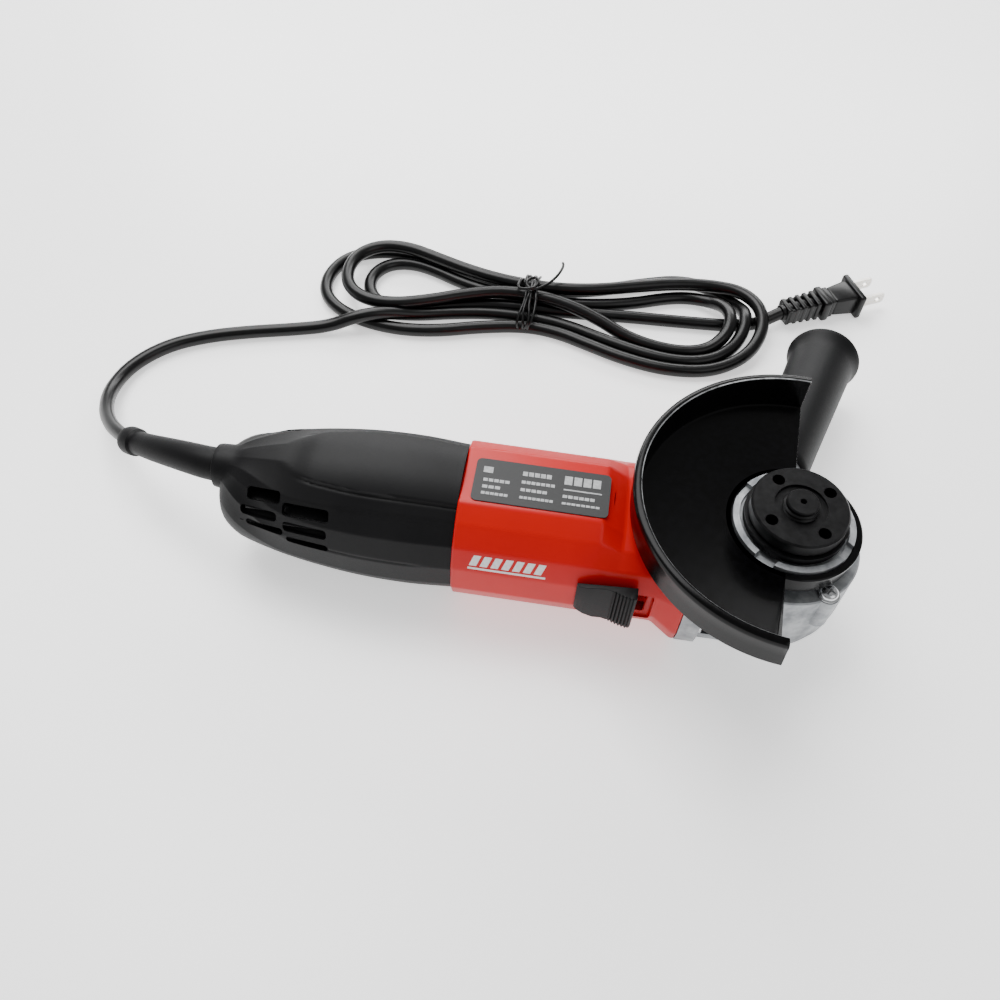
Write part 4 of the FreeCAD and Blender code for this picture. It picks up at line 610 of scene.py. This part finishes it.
def makePlug():
    turn = Euler((0, 0, math.radians(plugSizes["turn"])))
    place = Matrix.Translation(plugSizes["start"]) @ turn.to_matrix().to_4x4()
    bm = bmesh.new()
    # the flex: a tapered core with separate rings, joined by ribs on two sides
    core = [(-0.5, 3.9), (0, 4.3), (24, 4.7)]
    spinProfile(bm, [(x * mm, 0, r * mm) for x, r in core], (1, 0, 0), 20)
    for i in range(5):
        start = 1.2 + 4.3 * i
        high = 5.2 + 0.16 * i
        addBlock(bm, (2.5 * mm, 2 * high * mm, 2 * high * mm), ((start + 1.25) * mm, 0, 0), bevel=0.7 * mm)
    for side in (-1, 1):
        addBlock(bm, (20 * mm, 2 * mm, 8.6 * mm), (11 * mm, side * 4.2 * mm, 0), bevel=0.4 * mm)
    # the body widens in steps to the face that carries the blades
    addBlock(bm, (4.4 * mm, 15 * mm, 12.6 * mm), (24.4 * mm, 0, 0), bevel=1.3 * mm)
    addBlock(bm, (3.4 * mm, 12.4 * mm, 11 * mm), (28 * mm, 0, 0), bevel=0.6 * mm)
    verts = addBlock(bm, (14 * mm, 15.6 * mm, 12.4 * mm), (36.5 * mm, 0, 0))
    for vert in [v for v in verts if v.co.x < 36 * mm]:
        vert.co.y *= 0.76
        vert.co.z *= 0.86
    roundEdges(bm, edgesOf(verts), 1.4 * mm)
    addBlock(bm, (3.4 * mm, 20.6 * mm, 14.6 * mm), (44 * mm, 0, 0), bevel=1.1 * mm)
    bmesh.ops.transform(bm, matrix=place, verts=bm.verts)
    plug = finishPiece("plugBody", bm, cordPvc, "housing", "plug_body", sharp=40)

    bm = bmesh.new()
    for side in (-1, 1):
        length = plugSizes["bladeLength"]
        made = bmesh.ops.create_grid(bm, x_segments=8, y_segments=6, size=0.5)["verts"]
        shape = Matrix.Translation((44.5 * mm + length / 2, side * plugSizes["bladeGap"] / 2, 0))
        shape = shape @ Matrix.Rotation(math.pi / 2, 4, "X") @ Matrix.Diagonal((length, 6.2 * mm, 1, 1))
        bmesh.ops.transform(bm, matrix=shape, verts=made)
        tip = max(v.co.x for v in made)
        for vert in made:
            if vert.co.x > tip - 0.1 * mm and abs(vert.co.z) > 2.6 * mm:
                vert.co.x -= 1.6 * mm
        # the eye near the tip: the middle faces fall out and the hole is rounded
        eye = Vector((tip - 4.2 * mm, side * plugSizes["bladeGap"] / 2, 0))
        faces = dict.fromkeys(f for v in made for f in v.link_faces)
        inside = [f for f in faces if (f.calc_center_median() - eye).length < 1.9 * mm]
        bmesh.ops.delete(bm, geom=inside, context="FACES")
        for vert in [v for v in made if v.is_valid and (v.co - eye).length < 2.9 * mm]:
            vert.co = eye + (vert.co - eye).normalized() * 1.6 * mm if vert.is_boundary else vert.co
    bmesh.ops.solidify(bm, geom=list(bm.faces), thickness=1.5 * mm)
    bmesh.ops.transform(bm, matrix=place, verts=bm.verts)
    blades = finishPiece("plugBlades", bm, nickelBrass, "housing", "plug_blades", recalc=True)
    return plug, blades


plugBody, plugBlades = makePlug()

cordSleeveSizes = {
    "route": [(-230, 0, 43), (-238, 0.4, 42.8), (-246, 2.4, 41.6), (-256, 5.6, 39), (-266, 9.4, 35.4),
              (-275, 13.6, 31.4), (-283.5, 18, 27.6)],
    # radius by the share of the length
    "radius": [(0, 7.2), (0.1, 7.1), (0.3, 6.8), (0.6, 6.1), (0.9, 5.3), (0.915, 5.3), (0.925, 6.1),
               (0.94, 6.3), (0.985, 6.3), (1, 5.9)],
}


def makeCordGuard():
    # the tapered sleeve the cord leaves through, with a collar at its end
    line = curvePoints(cordSleeveSizes["route"])
    line = [a.lerp(b, share) for a, b in zip(line, line[1:] + line[-1:]) for share in (0, 0.5)][:-1]
    rows = cordSleeveSizes["radius"]
    bm = bmesh.new()
    shares = [i / (len(line) - 1) for i in range(len(line))]
    rings = []
    for i, (point, share) in enumerate(zip(line, shares)):
        way = (line[min(i + 1, len(line) - 1)] - line[max(i - 1, 0)]).normalized()
        turn = way.to_track_quat("Z", "Y").to_matrix().to_4x4()
        made = bmesh.ops.create_circle(
            bm, segments=28, radius=interpolate(rows, share) * mm, matrix=Matrix.Translation(point) @ turn
        )
        rings.append(made["verts"])
    for a, b in zip(rings, rings[1:]):
        edges = [e for e in bm.edges if set(e.verts) <= set(a) or set(e.verts) <= set(b)]
        bmesh.ops.bridge_loops(bm, edges=edges)
    for ring in (rings[0], rings[-1]):
        edges = [e for e in edgesOf(ring) if e.is_boundary]
        bmesh.ops.edgeloop_fill(bm, edges=edges)
    return finishPiece("cordSleeve", bm, gripRubber, "housing", "cord_guard", recalc=True)


cordSleeve = makeCordGuard()


# ---------- motor housing

housing = {
    "back": -131 * mm, "stepBack": -74 * mm, "stepFront": -65 * mm, "slope": -48 * mm, "front": -37 * mm,
    "top": 29, "stepTop": 22.4, "flangeTop": 17.6, "side": 31.3, "flangeSide": 33.5,
    "corner": 1.6 * mm, "statorRoom": 26.35, "fanRoom": 20.6, "neckRoom": 15,
}


def barrelHalf(top, side):
    facets = [(14, 29), (21.3, 24.2), (27.8, 16.3), (31.3, 7), (31.3, -7), (27.5, -17), (19, -26), (8, -32)]
    return [(y * side / 31.3, min(z, top - max(0, y - 14) * 0.15)) for y, z in facets]


def flangeHalf(top, side):
    return [(14, top), (side - 8.5, top), (side - 2, top - 5), (side, top - 12),
            (side, -14), (side - 2, -22), (side - 9.5, -29), (8, -32)]


def loftSections(bm, stations):
    # rings of corners, each one the last one moved on and reshaped
    rings = []
    for x, half in stations:
        ring = half + [(-y, z) for y, z in reversed(half)]
        rings.append([bm.verts.new((x, y * mm, z * mm + axisHeight)) for y, z in ring])
    for a, b in zip(rings, rings[1:]):
        loops = []
        for ring in (a, b):
            for i in range(len(ring)):
                pair = (ring[i], ring[(i + 1) % len(ring)])
                loops.append(bm.edges.get(pair) or bm.edges.new(pair))
        bmesh.ops.bridge_loops(bm, edges=loops)
    for ring in (rings[0], rings[-1]):
        bmesh.ops.contextual_create(bm, geom=ring)


def makeMotorShell():
    h = housing
    bm = bmesh.new()
    main, step = barrelHalf(h["top"], h["side"]), barrelHalf(h["stepTop"], h["side"])
    loftSections(bm, [
        (h["back"], main), (h["stepBack"], main), (h["stepFront"], step), (h["slope"], step),
        (h["front"] - 2 * mm, flangeHalf(h["flangeTop"], h["flangeSide"])),
        (h["front"], flangeHalf(h["flangeTop"], h["flangeSide"])),
    ])
    bmesh.ops.recalc_face_normals(bm, faces=bm.faces)
    edges = [e for e in bm.edges if len(e.link_faces) == 2 and e.calc_face_angle(0) > 0.09]
    roundEdges(bm, edges, h["corner"], clamp=True)
    shell = finishPiece("motorShell", bm, redAbs, "housing", "motor_housing", sharp=40)

    # room for the motor, open at both ends
    bm = bmesh.new()
    wide, middle, narrow = h["statorRoom"], h["fanRoom"], h["neckRoom"]
    room = [(-170, 0), (-170, wide), (-70, wide), (-70, middle), (-44, middle), (-44, narrow), (-20, narrow),
            (-20, 0)]
    spinProfile(bm, [(x * mm, 0, r * mm) for x, r in room], (1, 0, 0), 64)
    bmesh.ops.translate(bm, vec=(0, 0, axisHeight), verts=bm.verts)
    bmesh.ops.remove_doubles(bm, verts=bm.verts, dist=0.005 * mm)
    cutAway(shell, bm)
    # the sunk track that the thumb piece slides in, and the slot behind it
    bm = bmesh.new()
    addBlock(bm, (24 * mm, 7 * mm, 19.4 * mm), (-61.5 * mm, -31.3 * mm, 29.6 * mm), bevel=1.4 * mm)
    addBlock(bm, (20 * mm, 26 * mm, 7.2 * mm), (-63 * mm, -32 * mm, 32 * mm), bevel=0.6 * mm)
    cutAway(shell, bm)


makeMotorShell()


def makeBridge():
    # the moulded tube behind the motor that carries the brushes and the rear bearing
    bm = bmesh.new()
    ring = [(-137, 26.4), (-137, 27.5), (-130.5, 27.5), (-130.5, 26.4), (-137, 26.4)]
    spinProfile(bm, [(x * mm, 0, r * mm) for x, r in ring], (1, 0, 0), 64)
    tube = [(-161, 11.02), (-161, 22.3), (-133, 22.3), (-133, 26.4), (-131, 26.4), (-131, 20.6), (-149, 20.6),
            (-149, 7.6), (-151, 7.6), (-151, 11.02), (-161, 11.02)]
    spinProfile(bm, [(x * mm, 0, r * mm) for x, r in tube], (1, 0, 0), 64)
    bmesh.ops.translate(bm, vec=(0, 0, axisHeight), verts=bm.verts)
    finishPiece("motorBridge", bm, redAbs, "housing", recalc=True)


makeBridge()


def makeLabel():
    # printed plate: plain bars stand where the lettering was
    low, high = [Vector(corner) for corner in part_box("label_plate")]
    size = high - low
    middle = (low + high) / 2
    bm = bmesh.new()
    addBlock(bm, (size.x, size.y, 0.5 * mm), (middle.x, middle.y, low.z + 0.25 * mm))
    corners = [e for e in bm.edges if abs(e.verts[0].co.z - e.verts[1].co.z) > 0.3 * mm]
    roundEdges(bm, corners, 2.2 * mm, 5)
    finishPiece("labelPlate", bm, labelFilm, "housing", "label_plate")
    rows = [
        # start along, across, length, width, dashes
        (0.66, 0.74, 0.28, 0.20, 4), (0.66, 0.52, 0.28, 0.03, 1), (0.66, 0.36, 0.24, 0.07, 6),
        (0.66, 0.2, 0.28, 0.05, 8), (0.35, 0.76, 0.22, 0.10, 5), (0.35, 0.56, 0.25, 0.07, 7),
        (0.35, 0.38, 0.20, 0.07, 5), (0.35, 0.2, 0.25, 0.06, 8), (0.06, 0.74, 0.07, 0.14, 1),
        (0.07, 0.5, 0.2, 0.07, 5), (0.07, 0.34, 0.14, 0.07, 3), (0.07, 0.19, 0.2, 0.06, 6),
    ]
    bm = bmesh.new()
    for start, across, length, width, dashes in rows:
        step = length / dashes
        for i in range(dashes):
            filled = step * (0.82 if dashes > 1 else 1)
            along = low.x + (start + i * step + filled / 2) * size.x
            at = (along, low.y + across * size.y, low.z + 0.54 * mm)
            addBlock(bm, (filled * size.x, width * size.y, 0.08 * mm), at)
    finishPiece("labelBars", bm, silverInk, "housing")


makeLabel()


def makeSideMark():
    # a plain printed mark on the sloping facet: leaning bars and a line under them
    a, b = Vector((0, -27.8 * mm, 48.3 * mm)), Vector((0, -31.3 * mm, 39 * mm))
    up = (a - b).normalized()
    out = up.cross(Vector((1, 0, 0)))
    out = out if out.y < 0 else -out
    turn = Matrix((Vector((1, 0, 0)), up, out)).transposed().to_4x4()
    middle = (a + b) / 2 + out * 0.05 * mm
    bm = bmesh.new()
    for i in range(7):
        verts = addBlock(bm, (2.9 * mm, 5 * mm, 0.14 * mm), ((-12.6 + 4.3 * i) * mm, 0.7 * mm, 0))
        for vert in verts:
            vert.co.x += vert.co.y * 0.35
    addBlock(bm, (31 * mm, 0.9 * mm, 0.14 * mm), (0.4 * mm, -3.1 * mm, 0))
    place = Matrix.Translation((-109 * mm, middle.y, middle.z)) @ turn
    bmesh.ops.transform(bm, matrix=place, verts=bm.verts)
    finishPiece("sideMark", bm, whiteInk, "housing", recalc=True)


makeSideMark()


# ---------- rear cover

cover = {
    "radius": [(-231.4, 12.4), (-230.8, 14.4), (-228.6, 17.4), (-225, 20.2), (-221, 22.2), (-213, 24.5),
               (-203, 26.8), (-188, 29.2), (-170, 31.0), (-150, 31.4), (-131, 30.3)],
    "middle": [(-226, 43), (-218, 39.5), (-208, 34.5), (-198, 32), (-131, 32)],
    "boss": [(-234.6, 8.9), (-233, 9.3), (-226, 9.6), (-216, 9.7), (-200, 6.4)],
    "bossTop": 43,
    "wall": 2.4 * mm,
    "panelRise": 1.1,
    "blend": 1.0,  # width over which the boss runs into the body
}
creases = {
    # angle from +Y towards +Z of each long crease, along the cover
    "panel": [(-204, 100), (-195, 112.5), (-182, 117), (-169, 119), (-131, 119.4)],
    "upper": [(-222, 121), (-202, 130), (-182, 132.5), (-131, 132.5)],
    "middle": [(-222, 139.5), (-202, 146), (-182, 150), (-131, 151)],
    "lower": [(-222, 166), (-202, 169), (-182, 171), (-131, 172)],
}


def facetShare(angle, x):
    # how far a flat facet between two creases lies inside the round section
    marks = [interpolate(creases[name], x) for name in ("panel", "upper", "middle", "lower")] + [196]
    if not marks[0] < angle < marks[-1]:
        return 0
    for low, high in zip(marks, marks[1:]):
        if low <= angle <= high:
            half = math.radians((high - low) / 2)
            off = math.radians(angle - (low + high) / 2)
            return 1 - math.cos(half) / math.cos(off)
    return 0


def coverRadius(x, angle):
    # distance from the section's middle to the surface, in millimetres, at an angle in degrees
    centre = interpolate(cover["middle"], x)
    body = interpolate(cover["radius"], x) if x >= cover["radius"][0][0] else 0
    boss = interpolate(cover["boss"], x)
    radians = math.radians(angle)
    drop = centre - 32
    reach = body ** 2 - (drop * math.cos(radians)) ** 2
    bodyRadius = -drop * math.sin(radians) + math.sqrt(reach) if body and reach > 0 else 0
    rise = cover["bossTop"] - centre
    reach = boss ** 2 - (rise * math.cos(radians)) ** 2
    bossRadius = rise * math.sin(radians) + math.sqrt(reach) if reach > 0 else 0
    if bodyRadius:
        seams = 0
        side = angle if angle <= 270 and angle >= 90 else (180 - angle) % 360
        side = side if side >= 90 else 180 - side
        bodyRadius *= 1 - facetShare(side, x)
        panel = interpolate(creases["panel"], x)
        if x > -200:
            lift = cover["panelRise"] * smoothStep(x, -200, -190)
            bodyRadius += lift * (1 - smoothStep(side, panel - 0.9, panel + 0.7)) if side < 180 else 0
            seams += 0.55 * math.exp(-((side - panel - 1.6) / 1.1) ** 2) * smoothStep(x, -200, -190)
        if x > -216:
            upper = interpolate(creases["upper"], x)
            seams += 0.3 * math.exp(-((side - upper) / 1.1) ** 2) * smoothStep(x, -182, -172)
        bodyRadius -= seams
        if side > 160:
            lower = interpolate(creases["lower"], x)
            fade = smoothStep(x, -205, -190) * (1 - smoothStep(x, -150, -140))
            bodyRadius -= 0.5 * math.exp(-((side - lower) / 1.1) ** 2) * fade
    blend = max(0, cover["blend"] - abs(bodyRadius - bossRadius)) ** 2 / (4 * cover["blend"])
    return max(bodyRadius, bossRadius) + (blend if bodyRadius and bossRadius > 0 else 0)


vents = [
    # angle, middle along X, length, width
    (132.5, -209, 14.5, 5.4), (141.5, -190.8, 19.5, 5.6), (151, -211, 16, 4.4),
    (157.5, -191, 18.5, 4.6), (164.5, -208.5, 16.5, 3.2), (170.5, -190, 18, 3.2),
]


def makeRearShell():
    steps = 360
    stations = [-234.6, -234.3, -233.6, -232.6, -231.7, -231.4, -231.1, -230.4, -229.4, -228.2]
    stations += [-226.6 + 2 * i for i in range(48)] + [-131.6, -131]
    bm = bmesh.new()
    spinProfile(bm, [(x * mm, 0, 0.01) for x in stations], (1, 0, 0), steps)
    for vert in bm.verts:
        angle = math.degrees(math.atan2(vert.co.z, vert.co.y)) % 360
        x = vert.co.x / mm
        radius = coverRadius(x, angle)
        radius -= 0.6 if x < -234.5 else 0
        centre = interpolate(cover["middle"], x)
        radians = math.radians(angle)
        vert.co.y = radius * math.cos(radians) * mm
        vert.co.z = (centre + radius * math.sin(radians)) * mm
    bmesh.ops.recalc_face_normals(bm, faces=bm.faces)
    ends = [e for e in bm.edges if e.is_boundary and e.verts[0].co.x < -0.2]
    bmesh.ops.edgeloop_fill(bm, edges=ends)
    shell = finishPiece("rearShell", bm, blackNylon, "housing", "rear_cover", sharp=50)
    modifier = shell.modifiers.new("wall", "SOLIDIFY")
    modifier.thickness = cover["wall"]
    modifier.offset = -1
    result = readMesh(shell)
    shell.modifiers.clear()
    shell.data = result
    # the vents, with rounded ends, on both sides
    bm = bmesh.new()
    for side in (1, -1):
        for degrees, x, length, width in vents:
            angle = math.radians(degrees if side > 0 else 180 - degrees)
            turn = Euler((angle, 0, 0))
            out = turn.to_matrix() @ Vector((0, 1, 0))
            at = Vector((x * mm, 0, axisHeight)) + out * 25 * mm
            addBlock(bm, (length * mm, 20 * mm, width * mm), at, turn)
    long = [e for e in bm.edges if 19.95 * mm < e.calc_length() < 20.05 * mm]
    roundEdges(bm, long, 1.55 * mm, 4)
    cutAway(shell, bm)


makeRearShell()


def makeLouvres():
    # a sloping tongue behind each vent that keeps grit out
    bm = bmesh.new()
    for side in (1, -1):
        for degrees, x, length, width in vents:
            lean = 9 if side > 0 else -9
            angle = math.radians((degrees if side > 0 else 180 - degrees) + lean)
            out = Euler((angle, 0, 0)).to_matrix() @ Vector((0, 1, 0))
            inset = (interpolate(cover["radius"], x) - 5.2) * mm
            at = Vector((x * mm, 0, axisHeight)) + out * inset
            turn = Euler((angle - (0.75 if side > 0 else -0.75), 0, 0))
            size = ((length + 1) * mm, 1.2 * mm, (width + 2.5) * mm)
            addBlock(bm, size, at, turn, bevel=0.3 * mm, segments=2)
    finishPiece("ventLouvres", bm, blackNylon, "housing", recalc=True)


makeLouvres()


# ---------- thumb piece of the slide switch

slider = {"low": 23, "high": 45, "face": -31.65, "ribs": 6}


def makeSlider():
    s = slider
    bm = bmesh.new()
    span = (s["high"] - s["low"]) * mm
    outline = [(-80.4, -32.2), (-79.4, -33.3), (-76.5, -34.2), (-72.5, -34.4), (-69, -34.2), (-67, -34.6)]
    for i in range(s["ribs"]):
        x, lift = -66.2 + i * 1.35, 0.42 * i * (1.5 - 0.1 * i)
        outline += [(x, -34.6 - lift), (x + 0.35, -35.2 - lift), (x + 0.8, -35.2 - lift)]
        outline.append((x + 1.0, -34.7 - lift))
    outline += [(-57.9, -37.2), (-57.2, -36.8), (-56.8, -36), (-56.8, s["face"]), (-80.4, s["face"])]
    verts = [bm.verts.new((x * mm, y * mm, s["low"] * mm)) for x, y in outline]
    face = bm.faces.new(verts)
    made = bmesh.ops.extrude_face_region(bm, geom=[face])
    top = [v for v in made["geom"] if isinstance(v, bmesh.types.BMVert)]
    bmesh.ops.translate(bm, vec=(0, 0, span), verts=top)
    bmesh.ops.recalc_face_normals(bm, faces=bm.faces)
    level = [e for e in bm.edges if abs(e.verts[0].co.z - e.verts[1].co.z) < 0.01 * mm]
    rim = [e for e in level if min(v.co.y for v in e.verts) < -32 * mm]
    roundEdges(bm, rim, 0.5 * mm, clamp=True)
    for vert in bm.verts:
        # both ends of the back are drawn in, so the thumb piece narrows away from its ribs
        share = smoothStep(-vert.co.x / mm, 72, 80.4)
        vert.co.z += (34 * mm - vert.co.z) * 0.22 * share
    addBlock(bm, (17 * mm, 2.6 * mm, 18.2 * mm), (-66.5 * mm, -30.4 * mm, 29.6 * mm), bevel=0.5 * mm)
    addBlock(bm, (13 * mm, 4.4 * mm, 6 * mm), (-66.5 * mm, -27.6 * mm, 32 * mm), bevel=0.4 * mm)
    finishPiece("thumbSlide", bm, blackNylon, "switch", "switch_slider", sharp=35)


makeSlider()


# ---------- wheel guard

guard = {"turn": -5, "low": 57.6, "sheet": 1.5, "hole": 24.4, "collar": 27.0, "nearEnd": -6.2, "slant": 4}


def closedSpin(bm, rows, steps):
    # a ring of the given section about Z
    spinProfile(bm, [(r * mm, 0, z * mm) for r, z in rows + rows[:1]], (0, 0, 1), steps)
    weld(bm)


def sliceOff(bm, at, normal):
    # removes what lies on the normal's side of a plane, and closes the cut
    cut = bmesh.ops.bisect_plane(
        bm, geom=bm.verts[:] + bm.edges[:] + bm.faces[:], dist=0.001 * mm, plane_co=at, plane_no=normal,
        clear_outer=True,
    )
    edges = [e for e in cut["geom_cut"] if isinstance(e, bmesh.types.BMEdge)]
    bmesh.ops.holes_fill(bm, edges=edges, sides=0)


def makeGuard():
    g = guard
    low, plate = g["low"], g["low"] + g["sheet"]
    section = [
        (g["hole"], low), (61.6, low), (63.4, low + 0.5), (64.3, low + 1.8), (64.5, 66), (64.8, 70.5),
        (65.1, 72.2), (65.15, 73.2), (64.8, 74.2), (64, 74.8), (62.9, 74.98), (62.2, 74.98), (61.85, 74.6),
        (61.8, 61.6),
        (61.2, plate + 0.5), (60.2, plate), (g["hole"], plate),
    ]
    bm = bmesh.new()
    closedSpin(bm, section, 180)
    turn = math.radians(g["turn"])
    sliceOff(bm, (-0.5 * mm * math.cos(turn), 0, 0), (math.cos(turn), math.sin(turn), 0))
    # the near end of the rim leans back
    lean = math.radians(g["slant"])
    near = [f for f in bm.faces if f.calc_center_median().y < -45 * mm]
    geom = list(dict.fromkeys([*near, *(e for f in near for e in f.edges), *(v for f in near for v in f.verts)]))
    bmesh.ops.bisect_plane(
        bm, geom=geom, dist=0.001 * mm, plane_co=(g["nearEnd"] * mm, 0, plate * mm),
        plane_no=(math.cos(lean), 0, math.sin(lean)), clear_outer=True,
    )
    bmesh.ops.holes_fill(bm, edges=[e for e in bm.edges if e.is_boundary], sides=0)
    bmesh.ops.recalc_face_normals(bm, faces=bm.faces)
    sharpEdges = [e for e in bm.edges if len(e.link_faces) == 2 and e.calc_face_angle(0) > 1.2]
    roundEdges(bm, sharpEdges, 0.25 * mm, 2)
    # the second paint is the painted highlight on the rim's inner lip
    paints = [guardPaint, rimHighlightPaint]
    piece = finishPiece("guardShell", bm, paints, "guard", "wheel_guard", sharp=30)
    # the inner lip of the rim gets the painted highlight colour
    for polygon in piece.data.polygons:
        middle = polygon.center / mm
        reach = math.hypot(middle.x, middle.y)
        lip = 61.8 < reach < 62.25 and middle.z > 74.5
        if lip and polygon.area < 4 * mm * mm:
            polygon.material_index = 1
    bm = bmesh.new()
    outer = g["collar"]
    section = [(g["hole"], low), (outer, low), (outer, plate - 0.4), (outer - 0.5, plate), (g["hole"], plate)]
    closedSpin(bm, section, 96)
    finishPiece("guardCollar", bm, guardPaint, "guard", sharp=30)


makeGuard()


# ---------- spindle with its thread

thread = {"root": 6.25, "crest": 6.98, "pitch": 2.0, "low": 57.4, "high": 72.6, "tip": 73.1, "fade": 71.4}


def makeSpindle():
    t = thread
    bm = bmesh.new()
    profile = [
        (0, 6.5), (3.4, 6.5), (3.97, 7.1), (3.97, 16.5), (5.97, 18.5), (5.97, 54.6), (7.6, 54.6),
        (7.6, t["low"]), (t["root"], t["low"]), (t["root"], t["high"]), (6.1, t["tip"] - 0.3),
        (5.8, t["tip"]), (1.3, t["tip"]), (1.1, t["tip"] - 0.3), (1.1, 70.4), (0, 69.6),
    ]
    spinProfile(bm, [(r * mm, 0, z * mm) for r, z in profile], (0, 0, 1), 64)
    weld(bm)
    # one ridge wound up the shank, fading out at the tip
    perTurn = 40
    steps = int((t["high"] - 63.9) / t["pitch"] * perTurn)
    half = t["pitch"] * 0.44
    foot = t["root"] - 0.1
    ridge = [(foot, -half), (t["crest"], -0.22), (t["crest"], 0.22), (foot, half), (foot, -half)]
    start = len(bm.verts)
    spinProfile(
        bm, [(r * mm, 0, (63.2 + z) * mm) for r, z in ridge], (0, 0, 1), steps,
        angle=math.tau * steps / perTurn, shift=(0, 0, t["pitch"] * mm / perTurn),
    )
    bm.verts.ensure_lookup_table()
    for vert in bm.verts[start:]:
        height = vert.co.z / mm
        if height > t["fade"]:
            reach = math.hypot(vert.co.x, vert.co.y) / mm
            limit = max(5.8, t["crest"] - (height - t["fade"]) * 0.75)
            if reach > limit:
                vert.co.x *= limit / reach
                vert.co.y *= limit / reach
    finishPiece("threadedSpindle", bm, blackSteel, "spindle", "spindle", sharp=35)


makeSpindle()


# ---------- screws of the bearing box

boxScrews = {"places": [(16, -23), (16, 23), (-16, -23), (-16, 23)], "top": 50, "head": 3.7, "washer": 4.3}


def makeBoxScrews():
    # pan-head screws with a cross recess and a spring washer
    g = boxScrews
    low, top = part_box("bearing_box_screws")[0][2] / mm, g["top"]
    rows = [
        (0, low), (2, low), (2, top - 3.1), (g["washer"], top - 3.1), (g["washer"], top - 2.5),
        (3.5, top - 2.4), (g["head"], top - 2.1), (g["head"], top - 1.5), (3.35, top - 0.8),
        (2.5, top - 0.25), (1.3, top - 0.02), (0, top),
    ]
    whole, cross = bmesh.new(), bmesh.new()
    for x, y in g["places"]:
        turn = Matrix.Translation((x * mm, y * mm, 0)) @ Matrix.Rotation(0.5 + 0.03 * x, 4, "Z")
        start = len(whole.verts)
        spinProfile(whole, [(r * mm, 0, z * mm) for r, z in rows], (0, 0, 1), 40)
        whole.verts.ensure_lookup_table()
        bmesh.ops.transform(whole, matrix=turn, verts=whole.verts[start:])
        for size in ((4.6, 0.9), (0.9, 4.6)):
            bar = addBlock(cross, (size[0] * mm, size[1] * mm, 2.2 * mm), (0, 0, top * mm))
            bmesh.ops.transform(cross, matrix=turn, verts=bar)
    weld(whole)
    screws = finishPiece("boxScrews", whole, zincSteel, "housing", "bearing_box_screws")
    cutAway(screws, cross)


makeBoxScrews()


# ---------- spring of the spindle lock

lockSpring = {
    "at": (-14.53, 17.31), "low": 5.6, "floor": 13.5, "radius": 3.7, "wire": 0.35, "turns": 4, "keep": 0.37,
}


def makeLockSpring():
    # a round wire wound between the button and its pocket, made at one fixed length; the real spring shortens as
    # the button goes in
    g = lockSpring
    steps = 26 * g["turns"]
    rise = g["floor"] - 0.05 - g["low"] - 2 * g["wire"]
    angles = [math.tau * i / 8 for i in range(8)]
    ring = [(g["radius"] + g["wire"] * math.cos(a), g["wire"] * math.sin(a)) for a in angles]
    ring.append(ring[0])
    bm = bmesh.new()
    spinProfile(
        bm, [(x * mm, 0, (z + g["low"] + g["wire"]) * mm) for x, z in ring], (0, 0, 1), steps,
        angle=math.tau * g["turns"], shift=(0, 0, rise / steps * mm),
    )
    bmesh.ops.remove_doubles(bm, verts=bm.verts, dist=0.002 * mm)
    bmesh.ops.holes_fill(bm, edges=[e for e in bm.edges if e.is_boundary], sides=0)
    bmesh.ops.recalc_face_normals(bm, faces=bm.faces)
    bmesh.ops.translate(bm, vec=(g["at"][0] * mm, g["at"][1] * mm, 0), verts=bm.verts)
    spring = finishPiece("lockSpring", bm, zincSteel, "housing", "lock_spring")
    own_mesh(spring)


makeLockSpring()


# ---------- side handle

handle = {"at": (-0.6, 42, 36.8), "lean": 18, "droop": 9}


def makeHandle():
    h = handle
    way = Vector((
        math.cos(math.radians(h["droop"])) * math.sin(math.radians(h["lean"])),
        math.cos(math.radians(h["droop"])) * math.cos(math.radians(h["lean"])),
        -math.sin(math.radians(h["droop"])),
    ))
    profile = [
        (3.98, 18), (3.98, 0.02), (11.4, 0), (12.6, 0.5), (13.2, 1.6), (13.3, 4), (13.3, 9), (13.6, 25),
        (14.3, 50), (15.1, 78), (15.4, 86), (15.8, 90), (16.8, 92.6), (17.45, 93.9), (17.6, 94.8),
        (17.3, 95.6), (16.5, 96), (15.6, 95.9),
        (14.6, 95.2), (13.4, 94.7), (4, 94.4), (0, 94.4),
    ]
    bm = bmesh.new()
    spinProfile(bm, [(r * mm, 0, z * mm) for r, z in profile], (0, 0, 1), 72)
    bmesh.ops.remove_doubles(bm, verts=bm.verts, dist=0.004 * mm)
    bmesh.ops.holes_fill(bm, edges=[e for e in bm.edges if e.is_boundary], sides=0)
    place = Matrix.Translation(Vector(h["at"]) * mm) @ way.to_track_quat("Z", "Y").to_matrix().to_4x4()
    bmesh.ops.transform(bm, matrix=place, verts=bm.verts)
    finishPiece("handleGrip", bm, gripRubber, "handle", "side_handle", sharp=50, recalc=True)


makeHandle()
print("all pieces made")
